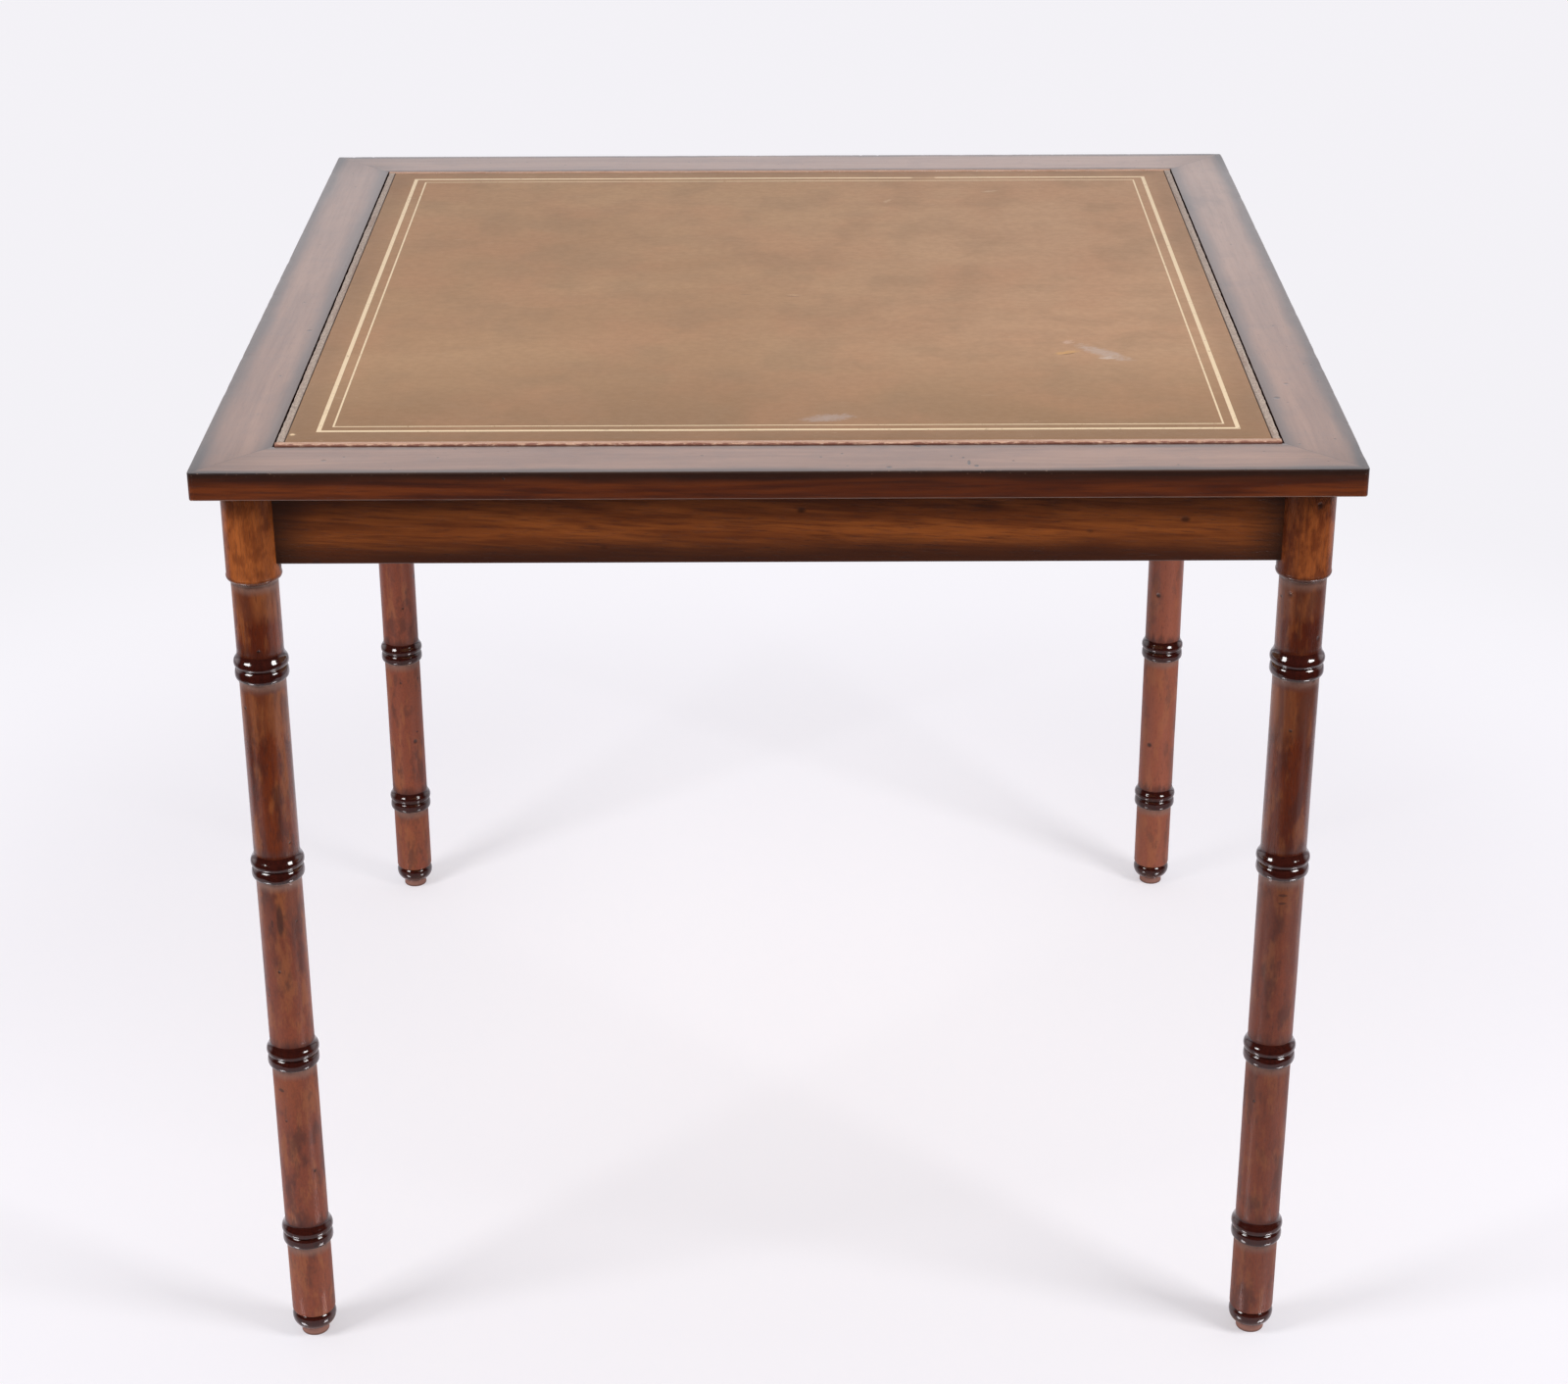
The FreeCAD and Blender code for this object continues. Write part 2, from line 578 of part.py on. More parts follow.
# The loose panel's board, and the chessboard under it: half its side to the dark band, the
# stringing and the squares, and the size of a square.
core_half_width = "(%s - lipping_width)" % panel_half_width
core_half_depth = "(%s - lipping_width)" % panel_half_depth
core_top = "(%s - leather_thickness)" % panel_top
banding_edge = "(min(%s; %s) - board_margin)" % (core_half_width, core_half_depth)
stringing_edge = "(%s - banding_width)" % banding_edge
squares_edge = "(%s - stringing_width)" % stringing_edge
square_size = "(2 * %s / %d)" % (squares_edge, SQUARES_PER_ROW)


def build_panel_core():
    """Board of the loose panel, recessed underneath for the chessboard's veneer."""
    core = new_body("panel_core")
    board = draw(core, "XY_Plane", raised=ledge_top, outlines=[rectangle(
        "-%s" % core_half_width, "-%s" % core_half_depth, core_half_width, core_half_depth)])
    feature(core, "Pad", board, Length="%s - %s" % (core_top, ledge_top))
    recess = draw(core, "XY_Plane", raised=ledge_top, outlines=[rectangle(
        "-%s" % banding_edge, "-%s" % banding_edge, banding_edge, banding_edge)])
    feature(core, "Pocket", recess, Length="veneer_thickness", Reversed=True)


def build_lipping(side, quarter_turns):
    """Hardwood lipping on one edge of the panel. Those at front and back cover the others' ends."""
    if side in ("front", "back"):
        half_length, reach = panel_half_width, panel_half_depth
    else:
        half_length, reach = core_half_depth, panel_half_width
    outline = [
        ("-%s" % reach, ledge_top),
        ("lipping_width - %s" % reach, ledge_top),
        ("lipping_width - %s" % reach, panel_top),
        ("lipping_arris - %s" % reach, panel_top),
        ("-%s" % reach, "%s - lipping_arris" % panel_top),
    ]
    build_bar_shape("lipping_" + side, quarter_turns, outline, half_length)


def build_leather_top():
    """One skin of leather laid between the lippings, flush with them."""
    leather = document.addObject("Part::Box", "leather_top")
    leather.Label = "leather_top"
    bind(leather, "Length", "2 * %s" % core_half_width)
    bind(leather, "Width", "2 * %s" % core_half_depth)
    bind(leather, "Height", "leather_thickness")
    bind(leather, "Placement.Base.x", "-%s" % core_half_width)
    bind(leather, "Placement.Base.y", "-%s" % core_half_depth)
    bind(leather, "Placement.Base.z", core_top)
    sub_parts.append(leather)


def build_chess_squares(shade, column):
    """Every second square of the board, from the front left corner or from its neighbour. Light
    starts at that corner, so that it is at each player's right once the panel is turned over."""
    squares = new_body("chess_%s_squares" % shade)
    outlines = []
    for step_x, step_y in ((column, 0), (1 - column, 1)):
        low_x, low_y = ["%d * %s - %s + glue_line / 2" % (step, square_size, squares_edge)
                        for step in (step_x, step_y)]
        high_x, high_y = ["%d * %s - %s - glue_line / 2" % (step + 1, square_size, squares_edge)
                          for step in (step_x, step_y)]
        outlines.append(rectangle(low_x, low_y, high_x, high_y))
    drawing = draw(squares, "XY_Plane", outlines, raised=ledge_top)
    pair = feature(squares, "Pad", drawing, Length="veneer_thickness")
    along_x, along_y = [in_line(squares, axis, "2 * %s" % square_size, SQUARES_PER_ROW // 2)
                        for axis in ("X_Axis", "Y_Axis")]
    repeat(squares, [pair], [along_x, along_y])


def build_chess_edging(label, inner, outer):
    """Four mitred strips of veneer round the board."""
    edging = new_body(label)
    outline = [("glue_line / 2 - %s" % outer, "-%s" % outer),
               ("%s - glue_line / 2" % outer, "-%s" % outer),
               ("%s - glue_line / 2" % inner, "-%s" % inner),
               ("glue_line / 2 - %s" % inner, "-%s" % inner)]
    drawing = draw(edging, "XY_Plane", [outline], raised=ledge_top)
    strip = feature(edging, "Pad", drawing, Length="veneer_thickness")
    repeat(edging, [strip], [in_circle(edging, 4)])


# The leg at the left end of each side, seen from outside.
LEG_CORNERS = {
    "front": "front_left",
    "right": "front_right",
    "back": "back_right",
    "left": "back_left",
}
for quarter_turns, (side, half_length, reach) in enumerate(SIDES):
    build_leg(LEG_CORNERS[side], quarter_turns, half_length, reach)
    build_apron(side, quarter_turns, half_length, reach)
    build_top_rail(side, quarter_turns, half_length, reach)
    build_well_side(side, quarter_turns)
    build_lipping(side, quarter_turns)
build_mitre_keys()
build_well_floor()
build_centre_bar()
for side, quarter_turns in (("right", 0), ("left", 2)):
    build_playing_field(side, quarter_turns)
for side, quarter_turns in (("right", 1), ("left", 3)):
    build_tray(side, quarter_turns)
build_points("light", True)
build_points("dark", False)
build_panel_core()
build_leather_top()
build_chess_squares("light", 0)
build_chess_squares("dark", 1)
build_chess_edging("chess_stringing", squares_edge, stringing_edge)
build_chess_edging("chess_banding", stringing_edge, banding_edge)

document.recompute()
for thing in document.Objects:
    if "Invalid" in thing.State or "Error" in thing.State:
        raise RuntimeError("%s failed: %s" % (thing.Name, thing.State))
for sub_part in sub_parts:
    if sub_part.Shape.isNull() or not sub_part.Shape.isValid():
        raise RuntimeError("%s has no sound shape" % sub_part.Label)

os.makedirs("parts", exist_ok=True)
for sub_part in sub_parts:
    sub_part.Shape.exportStep("parts/%s.step" % sub_part.Label)
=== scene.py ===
import math

import bpy
import numpy as np
from mathutils import Matrix, Vector, noise


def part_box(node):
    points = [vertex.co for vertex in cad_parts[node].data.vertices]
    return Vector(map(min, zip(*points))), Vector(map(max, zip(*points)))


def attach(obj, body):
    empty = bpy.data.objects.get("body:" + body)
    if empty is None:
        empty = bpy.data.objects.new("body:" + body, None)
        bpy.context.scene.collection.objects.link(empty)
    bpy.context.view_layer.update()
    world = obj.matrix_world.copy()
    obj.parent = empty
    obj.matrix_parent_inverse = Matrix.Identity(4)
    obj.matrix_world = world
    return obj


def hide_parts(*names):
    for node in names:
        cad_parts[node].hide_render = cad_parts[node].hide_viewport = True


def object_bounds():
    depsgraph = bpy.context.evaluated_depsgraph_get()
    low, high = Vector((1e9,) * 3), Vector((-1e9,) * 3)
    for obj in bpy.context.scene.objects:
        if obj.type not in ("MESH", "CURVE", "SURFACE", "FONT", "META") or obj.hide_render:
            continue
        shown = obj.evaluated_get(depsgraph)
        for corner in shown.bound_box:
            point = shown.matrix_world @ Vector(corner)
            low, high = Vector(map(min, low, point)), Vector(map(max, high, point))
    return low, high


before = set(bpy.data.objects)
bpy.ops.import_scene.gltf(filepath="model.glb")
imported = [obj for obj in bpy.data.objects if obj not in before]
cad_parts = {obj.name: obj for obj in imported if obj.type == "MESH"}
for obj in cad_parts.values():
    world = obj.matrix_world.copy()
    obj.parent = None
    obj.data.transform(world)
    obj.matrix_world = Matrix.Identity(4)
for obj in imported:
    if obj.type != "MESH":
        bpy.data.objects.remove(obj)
cad_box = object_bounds()


# The camera stands in front of the table, a little above a seated player's eyes, and looks down
# at it through a long lens. Its place was worked out from the corners of the top and the feet.
CAMERA_PLACE = (0.0072, -2.371, 1.483)
CAMERA_TURN = 0.11
CAMERA_DOWN = 25.0
CAMERA_ROLL = -0.25
LENS = 71.64
SENSOR_WIDTH = 36.0


def set_up(name, data):
    """Put a new object in the scene."""
    made = bpy.data.objects.new(name, data)
    bpy.context.scene.collection.objects.link(made)
    return made


camera_data = bpy.data.cameras.new("camera")
camera_data.lens = LENS
camera_data.sensor_width = SENSOR_WIDTH
camera = set_up("camera", camera_data)
camera.matrix_world = (
    Matrix.Translation(CAMERA_PLACE)
    @ Matrix.Rotation(math.radians(CAMERA_TURN), 4, "Z")
    @ Matrix.Rotation(math.radians(90 - CAMERA_DOWN), 4, "X")
    @ Matrix.Rotation(math.radians(CAMERA_ROLL), 4, "Z")
)
bpy.context.scene.camera = camera


# The four legs. Each is one length of hardwood turned on a lathe, with a plain collar at its
# head, four double beads like the joints of a bamboo cane, and a beaded foot on a small peg.
# They are stained red-brown, with a nearly black glaze on the beads, and varnished.
LEG_PLACE = 0.3655
PEG_RADIUS = 0.0106
PEG_HEIGHT = 0.0066
PEG_ARRIS = 0.0012
FOOT_CROWN_RADIUS = 0.0169
FOOT_CROWN = 0.0162
FOOT_BEAD_TOP = 0.0206
FOOT_NOTCH_RADIUS = 0.0151
SHAFT_RADIUS = 0.0166
SHAFT_END_TOP = 0.0236
RING_HEIGHTS = [0.0947 + index * 0.15887 for index in range(4)]
RING_PITCH = RING_HEIGHTS[1] - RING_HEIGHTS[0]
RING_GROOVE_RADIUS = 0.0173
GROOVE_HALF_WIDTH = 0.0003
LOWER_BEAD = 0.0086
LOWER_BEAD_RADIUS = 0.0192
LOWER_BEAD_CROWN = 0.0024
LOWER_SHOULDER_RADIUS = 0.0188
LOWER_SHOULDER_DROP = 0.0024
UPPER_BEAD = 0.0066
UPPER_BEAD_RADIUS = 0.0194
UPPER_BEAD_CROWN = 0.0024
UPPER_EDGE_RADIUS = 0.0185
RING_FLARE = 0.0072
BEAD_EASING = 0.0006
COLLAR_SHOULDER = 0.638
COLLAR_RADIUS = 0.0192
COLLAR_ROUNDING = 0.0046
LEG_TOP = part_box("leg_front_left")[1].z
TURNING_STEPS = 96
SPINDLE_RADIUS = 0.01
LEG_WAVER = 0.008
SHAFT_POINTS = 24
UNDER_RING = 0.007
RING_SEAT = 0.0005
UNDER_COLLAR = 0.004
COLLAR_SEAT = 0.0003
# The dark smudges on the front legs: where, half their width and half their height.
LEG_MARKS = [(-0.3644, 0.3733, 0.0023, 0.0125), (-0.3704, 0.3700, 0.0006, 0.0030),
             (-0.3741, 0.2268, 0.0022, 0.0014), (0.3648, 0.3912, 0.0032, 0.0012),
             (0.3646, 0.3847, 0.0028, 0.0010)]


class Wire:
    """A number, place, colour or shape on its way through a tree of nodes, so that sums read
    as sums."""

    def __init__(self, tree, socket):
        self.tree = tree
        self.socket = socket

    def node(self, kind, settings, inputs, output=0):
        """Any node: its settings first, then values or other wires for its sockets."""
        made = self.tree.nodes.new(kind)
        for name, setting in settings.items():
            setattr(made, name, setting)
        for key, given in inputs.items():
            if isinstance(given, Wire):
                self.tree.links.new(given.socket, made.inputs[key])
            else:
                made.inputs[key].default_value = given
        return Wire(self.tree, made.outputs[output])

    def sum(self, operation, first, second):
        return self.node("ShaderNodeMath", {"operation": operation}, {0: first, 1: second})

    def __add__(self, other):
        return self.sum("ADD", self, other)

    def __radd__(self, other):
        return self.sum("ADD", other, self)

    def __sub__(self, other):
        return self.sum("SUBTRACT", self, other)

    def __rsub__(self, other):
        return self.sum("SUBTRACT", other, self)

    def __mul__(self, other):
        return self.sum("MULTIPLY", self, other)

    def __rmul__(self, other):
        return self.sum("MULTIPLY", other, self)

    def __truediv__(self, other):
        return self.sum("DIVIDE", self, other)

    def __neg__(self):
        return self.sum("SUBTRACT", 0.0, self)

    def function(self, operation):
        """A function of this number alone, such as its sine."""
        return self.sum(operation, self, 0.0)

    def __abs__(self):
        return self.function("ABSOLUTE")

    def larger(self, other):
        return self.sum("MAXIMUM", self, other)

    def smaller(self, other):
        return self.sum("MINIMUM", self, other)

    def above(self, other):
        return self.sum("GREATER_THAN", self, other)

    def wrapped(self):
        """The number less its whole part, from 0 to 1."""
        return self.sum("FLOORED_MODULO", self, 1.0)

    def rise(self, low, high):
        """0 below low, 1 above high, and smooth between. It falls where low is the larger."""
        return self.node("ShaderNodeMapRange", {"interpolation_type": "SMOOTHSTEP"},
                         {"Value": self, "From Min": low, "From Max": high})

    def band(self, low, high, soft):
        """1 between low and high, falling to 0 over the soft distance outside them."""
        return self.rise(low - soft, low) * self.rise(high + soft, high)

    def position(self):
        """Where each point of a shape is, as three wires."""
        return self.node("GeometryNodeInputPosition", {}, {}).split()

    def split(self):
        return [self.node("ShaderNodeSeparateXYZ", {}, {0: self}, part) for part in range(3)]

    def joined(self, second, third):
        return self.node("ShaderNodeCombineXYZ", {}, {0: self, 1: second, 2: third})

    def stretched(self, first, second, third):
        return self.node("ShaderNodeVectorMath", {"operation": "MULTIPLY"},
                         {0: self, 1: (first, second, third)})

    def cloud(self, scale, detail=3.0, roughness=0.55, distortion=0.0):
        """Soft random variation about 0.5, with features about 1 / scale across."""
        return self.node("ShaderNodeTexNoise", {}, {
            "Vector": self, "Scale": scale, "Detail": detail, "Roughness": roughness,
            "Distortion": distortion})

    def cells(self, scale):
        """How far each point is from the nearest of many scattered ones, 1 / scale apart."""
        return self.node("ShaderNodeTexVoronoi", {}, {"Vector": self, "Scale": scale})

    def between(self, first, second):
        """Colour that is the first where this is 0 and the second where it is 1."""
        return self.node("ShaderNodeMix", {"data_type": "RGBA"},
                         {0: self, 6: first, 7: second}, output=2)

    def relief(self, depth):
        """The surface's normal, with this number as its height, depth metres from 0 to 1."""
        return self.node("ShaderNodeBump", {}, {
            "Height": self, "Distance": depth, "Strength": 1.0})


def colour(red, green, blue):
    """A colour given as it is seen on a screen, from 0 to 255."""
    shares = [part / 255 for part in (red, green, blue)]
    return tuple(((share + 0.055) / 1.055) ** 2.4 if share > 0.04045 else share / 12.92
                 for share in shares) + (1.0,)


def new_finish(name):
    """An empty material, and the place of each point on the table, in metres."""
    material = bpy.data.materials.new(name)
    material.use_nodes = True
    material.node_tree.nodes.clear()
    coordinates = material.node_tree.nodes.new("ShaderNodeTexCoord")
    return material, Wire(material.node_tree, coordinates.outputs["Object"])


def surfaced(material, shader):
    """The finished material, with this shader as its surface."""
    output = material.node_tree.nodes.new("ShaderNodeOutputMaterial")
    material.node_tree.links.new(shader.socket, output.inputs["Surface"])
    return material


def coat(material, place, sockets):
    """Close a finish with one coat, whose sockets are given."""
    return surfaced(material, place.node("ShaderNodeBsdfPrincipled", {}, sockets))


def grain(lengthwise):
    """Broad figure, narrow streaks and open pores of a straight-grained hardwood. The first
    coordinate runs along the grain."""
    figure = lengthwise.stretched(5, 42, 42).cloud(1.0, 4.0, 0.6, 0.6)
    streaks = lengthwise.stretched(18, 420, 420).cloud(1.0, 4.0, 0.65)
    pores = lengthwise.stretched(120, 1700, 1700).cloud(1.0, 1.0).rise(0.62, 0.72)
    return figure, streaks, pores


def dents(place, density, size):
    """Small knocks scattered over a surface: 1 in the middle of one, 0 nearly everywhere."""
    return place.cells(density).rise(size, size * 0.3)


def leg_finish():
    material, place = new_finish("turned_leg_finish")
    x, y, z = place.split()
    figure, streaks, pores = grain(z.joined(x, y))
    ragged = place.stretched(160, 160, 45).cloud(1.0, 4.0, 0.7) - 0.5
    above_ring = ((z - RING_HEIGHTS[0]) / RING_PITCH + 0.5).wrapped() - 0.5
    height = above_ring * RING_PITCH
    on_cane = z.rise(COLLAR_SHOULDER + 0.001, COLLAR_SHOULDER - 0.001)
    cane = height + ragged * 0.006
    ring = height.band(-LOWER_BEAD, 0.0100, 0.0014) * on_cane
    glaze = (cane + ragged * 0.016).band(0.0, 0.009, 0.012) * on_cane
    under_collar = (z + ragged * 0.003).rise(COLLAR_SHOULDER - 0.0095, COLLAR_SHOULDER - 0.0025)
    under_ring = (height + ragged * 0.003).rise(-0.0190, -0.0110) * height.rise(-0.0080, -0.0088)
    haze = under_ring.larger(under_collar) * on_cane
    # Painted highlight: a pale line where the cove under each ring and under the collar catches the
    # light.
    painted_cove_highlight = height.band(-0.0096, -0.0088, 0.0006).larger(
        z.band(COLLAR_SHOULDER - 0.0010, COLLAR_SHOULDER - 0.0002, 0.0006)) * on_cane
    bare = (cane + ragged * 0.05).band(-0.034, -0.0180, 0.030) * cane.rise(-0.0150, -0.0185)
    bare = bare.larger((z + ragged * 0.01).band(
        COLLAR_SHOULDER - 0.022, COLLAR_SHOULDER - 0.010, 0.012)) * on_cane
    foot = z.band(PEG_HEIGHT, FOOT_BEAD_TOP + 0.0004, 0.0006)
    peg = z.rise(PEG_HEIGHT, PEG_HEIGHT - 0.0006)
    collar = 1 - on_cane

    stain = figure.rise(0.34, 0.66).between(colour(87, 31, 11), colour(128, 56, 21))
    stain = (streaks.rise(0.38, 0.70) * 0.27).between(stain, colour(68, 22, 9))
    # Lighter towards the foot. The extra lightness on the back legs is painted light.
    lower = z.rise(0.50, 0.25) * 0.60 + y.above(0.0) * 0.14
    stain = lower.between(stain, colour(147, 70, 41))
    grit = place.stretched(800, 800, 420).cloud(1.0, 2.0, 0.6).rise(0.42, 0.60)
    stain = (grit * 0.20).between(stain, colour(66, 26, 16))
    mottle = place.stretched(95, 95, 26).cloud(1.0, 4.0, 0.65).rise(0.49, 0.63)
    stain = (mottle * 0.50).between(stain, colour(156, 90, 46))
    blotches = place.stretched(75, 75, 30).cloud(1.0, 4.0, 0.65).rise(0.49, 0.64)
    stain = (blotches * 0.64).between(stain, colour(72, 32, 22))
    # Painted light: the back legs are painted lighter, the back-right one most.
    stain = (y.above(0.0) * (0.06 + 0.16 * x.above(0.0))).between(stain, colour(186, 114, 88))
    golden = bare * (0.2 + 0.8 * figure.rise(0.42, 0.6)) * (0.22 + 0.78 * z.rise(0.38, 0.56))
    stain = (golden * 0.66).between(stain, colour(160, 94, 50))
    in_front = y.rise(0.004 - LEG_PLACE, -0.004 - LEG_PLACE)
    smudges = 0.0
    for mark_x, mark_z, width, tall in LEG_MARKS:
        across = (x - mark_x + ragged * 0.002) / width
        up = (z - mark_z + ragged * 0.002) / tall
        smudges = (across * across + up * up).rise(1.6, 0.5).larger(smudges)
    stain = (smudges * in_front * 0.72).between(stain, colour(52, 24, 16))
    stain = (haze * 0.72).between(stain, colour(136, 102, 88))
    stain = (painted_cove_highlight * 0.7).between(stain, colour(176, 146, 130))
    stain = (glaze * 0.75).between(stain, colour(64, 24, 12))
    patches = place.stretched(110, 110, 60).cloud(1.0, 4.0, 0.65).rise(0.40, 0.62)
    warm = (0.7 * patches + 0.3 * figure.rise(0.3, 0.62)).between(
        colour(166, 90, 42), colour(100, 44, 18))
    warm = (streaks.rise(0.50, 0.66) * 0.4).between(warm, colour(84, 34, 14))
    warm = (x.rise(0.1, -0.1) * 0.12).between(warm, colour(198, 112, 54))
    stain = collar.between(stain, warm)
    # Painted shade: the head of the leg is darkened where the top overhangs it.
    painted_shade_under_top = z.rise(LEG_TOP - 0.012, LEG_TOP) * 0.6
    stain = painted_shade_under_top.between(stain, colour(60, 26, 12))
    shoulder = (z + ragged * 0.004).band(COLLAR_SHOULDER - 0.001, COLLAR_SHOULDER + 0.002, 0.003)
    stain = (shoulder * 0.6).between(stain, colour(60, 26, 14))
    darker_stick = x.above(0.0) * (-y).above(0.0) * 0.30
    stain = darker_stick.between(stain, colour(70, 26, 12))
    knocks = dents(place, 30.0, 0.10) + dents(place, 55.0, 0.09)
    stain = (pores * 0.35 + knocks * 0.8).smaller(1.0).between(stain, colour(40, 16, 10))
    black = streaks.rise(0.3, 0.8).between(colour(60, 20, 12), colour(42, 13, 9))
    stain = ring.larger(foot).between(stain, black)
    # Painted reflection: the lower half of the foot bead is lightened as if it mirrored the pale
    # floor.
    stain = (foot * z.rise(0.0140, 0.0090) * 0.6).between(stain, colour(116, 72, 58))
    stain = peg.between(stain, colour(150, 106, 92))
    stain = (z.rise(0.0026, 0.0010) * 0.6).between(stain, colour(74, 46, 38))

    shine = ring.larger(foot)
    satin = 0.20 + 0.14 * streaks + 0.08 * bare + 0.15 * haze + 0.16 * z.rise(0.45, 0.25)
    roughness = satin * (1 - shine) + 0.11 * shine + peg * 0.25
    surface = (streaks * 0.35 - knocks * 1.6 - pores * 0.25) * (1 - shine * 0.9)
    return coat(material, place, {
        "Base Color": stain, "Roughness": roughness, "Normal": surface.relief(0.00025),
        "Coat Weight": 0.34 * z.rise(0.22, 0.46) + 0.50 * shine, "Coat Roughness": 0.07,
        "Specular IOR Level": 0.46})


def arc(start, stop, rise, steps):
    """Points of a round stretch from one (radius, height) to another. It swells outwards by its
    rise, or is hollow where that is less than nought. The last point is left out."""
    wider = stop[0] - start[0]
    taller = stop[1] - start[1]
    chord = math.hypot(wider, taller)
    radius = (chord ** 2 / 4 + rise ** 2) / (2 * abs(rise))
    half_turn = 2 * math.atan(2 * abs(rise) / chord)
    points = []
    for step in range(steps):
        angle = half_turn * (2 * step / steps - 1)
        along = 0.5 + radius * math.sin(angle) / chord
        out = math.copysign(radius * (math.cos(angle) - math.cos(half_turn)), rise)
        points.append((start[0] + wider * along + out * taller / chord,
                       start[1] + taller * along - out * wider / chord))
    return points


def cut_round(start, cuts):
    """Points of a chain of round stretches. Each is given by its end, its rise and its steps."""
    points = []
    for stop, rise, steps in cuts:
        points += arc(start, stop, rise, steps)
        start = stop
    return points


def leg_outline():
    """The turned outline, from the middle of the peg's end to the middle of the leg's head."""
    outline = [(0.0, 0.0)] + cut_round((PEG_RADIUS - PEG_ARRIS, 0.0), (
        ((PEG_RADIUS, PEG_ARRIS), PEG_ARRIS * 0.3, 4),
        ((PEG_RADIUS, PEG_HEIGHT), -PEG_ARRIS * 0.12, 6),
        ((FOOT_CROWN_RADIUS, FOOT_CROWN), 0.0018, 16),
        ((FOOT_NOTCH_RADIUS, FOOT_BEAD_TOP), 0.0005, 10),
        ((SHAFT_RADIUS, SHAFT_END_TOP), 0.0005, 8)))
    for groove in RING_HEIGHTS:
        foot_of_ring = groove - LOWER_BEAD
        flared = groove + UPPER_BEAD + RING_FLARE
        outline += cut_round((SHAFT_RADIUS, foot_of_ring - UNDER_RING), (
            ((SHAFT_RADIUS + RING_SEAT, foot_of_ring), -0.0002, 6),
            ((LOWER_BEAD_RADIUS - BEAD_EASING, foot_of_ring + 0.0001), -0.0001, 3),
            ((LOWER_BEAD_RADIUS, foot_of_ring + LOWER_BEAD_CROWN), 0.00016, 6),
            ((LOWER_SHOULDER_RADIUS, groove - LOWER_SHOULDER_DROP), 0.00013, 7),
            ((RING_GROOVE_RADIUS, groove - GROOVE_HALF_WIDTH), 0.00021, 7),
            ((RING_GROOVE_RADIUS, groove + GROOVE_HALF_WIDTH), -0.0001, 3),
            ((UPPER_BEAD_RADIUS, groove + UPPER_BEAD_CROWN), 0.0005, 9),
            ((UPPER_EDGE_RADIUS, groove + UPPER_BEAD), 0.00042, 10),
            ((SHAFT_RADIUS, flared), -0.0007, 12)))
        stop = COLLAR_SHOULDER - UNDER_COLLAR
        if groove < RING_HEIGHTS[-1]:
            stop = groove + RING_PITCH - LOWER_BEAD - UNDER_RING
        outline += [(SHAFT_RADIUS, flared + (stop - flared) * step / SHAFT_POINTS)
                    for step in range(SHAFT_POINTS)]
    outline += arc((SHAFT_RADIUS, COLLAR_SHOULDER - UNDER_COLLAR),
                   (SHAFT_RADIUS + COLLAR_SEAT, COLLAR_SHOULDER - 0.0002), -0.0001, 5)
    rounded = (COLLAR_RADIUS, COLLAR_SHOULDER + COLLAR_ROUNDING)
    outline += arc((SHAFT_RADIUS + COLLAR_SEAT, COLLAR_SHOULDER), rounded, 0.0014, 12)
    return outline + [rounded, (COLLAR_RADIUS, LEG_TOP), (0.0, LEG_TOP)]


def new_shape(name, inputs):
    """A tree of geometry nodes with named inputs. With it come the wires from its inputs: the
    outline that it starts from, and then the others in turn."""
    tree = bpy.data.node_groups.new(name, "GeometryNodeTree")
    tree.interface.new_socket("Outline", in_out="INPUT", socket_type="NodeSocketGeometry")
    for label, kind in inputs.items():
        tree.interface.new_socket(label, in_out="INPUT", socket_type="NodeSocket" + kind)
    tree.interface.new_socket("Piece", in_out="OUTPUT", socket_type="NodeSocketGeometry")
    entry = tree.nodes.new("NodeGroupInput")
    return tree, [Wire(tree, entry.outputs[index]) for index in range(len(inputs) + 1)]


def close_shape(tree, shape, finish):
    """End a tree with its shape faced outwards, made real, and its finish on it."""
    shape = shape.node("GeometryNodeFlipFaces", {}, {"Mesh": shape})
    shape = shape.node("GeometryNodeRealizeInstances", {}, {"Geometry": shape})
    shape = shape.node("GeometryNodeSetMaterial", {}, {"Geometry": shape, "Material": finish})
    leaving = tree.nodes.new("NodeGroupOutput")
    tree.links.new(shape.socket, leaving.inputs[0])
    return tree


def grown(name, tree, outline, wear, closed, given):
    """The plain mesh that a tree makes from an outline, whose points may say how they wear."""
    mesh = bpy.data.meshes.new(name)
    edges = [(index, index + 1) for index in range(len(outline) - 1)]
    mesh.from_pydata(outline, edges + [(len(outline) - 1, 0)] * closed, [])
    mesh.attributes.new("wear", "FLOAT_VECTOR", "POINT").data.foreach_set("vector", np.ravel(wear))
    holder = set_up(name, mesh)
    modifier = holder.modifiers.new("shape", "NODES")
    modifier.node_group = tree
    for item in tree.interface.items_tree:
        if item.in_out == "INPUT" and item.name in given:
            modifier[item.identifier] = given[item.name]
    depsgraph = bpy.context.evaluated_depsgraph_get()
    made = bpy.data.meshes.new_from_object(holder.evaluated_get(depsgraph), depsgraph=depsgraph)
    bpy.data.objects.remove(holder)
    bpy.data.meshes.remove(mesh)
    made.name = name
    if "wear" in made.attributes:
        made.attributes.remove(made.attributes["wear"])
    return made


def piece(mesh, body, nodes, sharp=math.radians(40)):
    """A finished piece of the table, smooth but for its sharp edges, in the place of its nodes."""
    mesh.validate()
    mesh.shade_smooth()
    mesh.set_sharp_from_angle(angle=sharp)
    made = set_up(mesh.name, mesh)
    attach(made, body)
    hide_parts(*nodes)
    return made


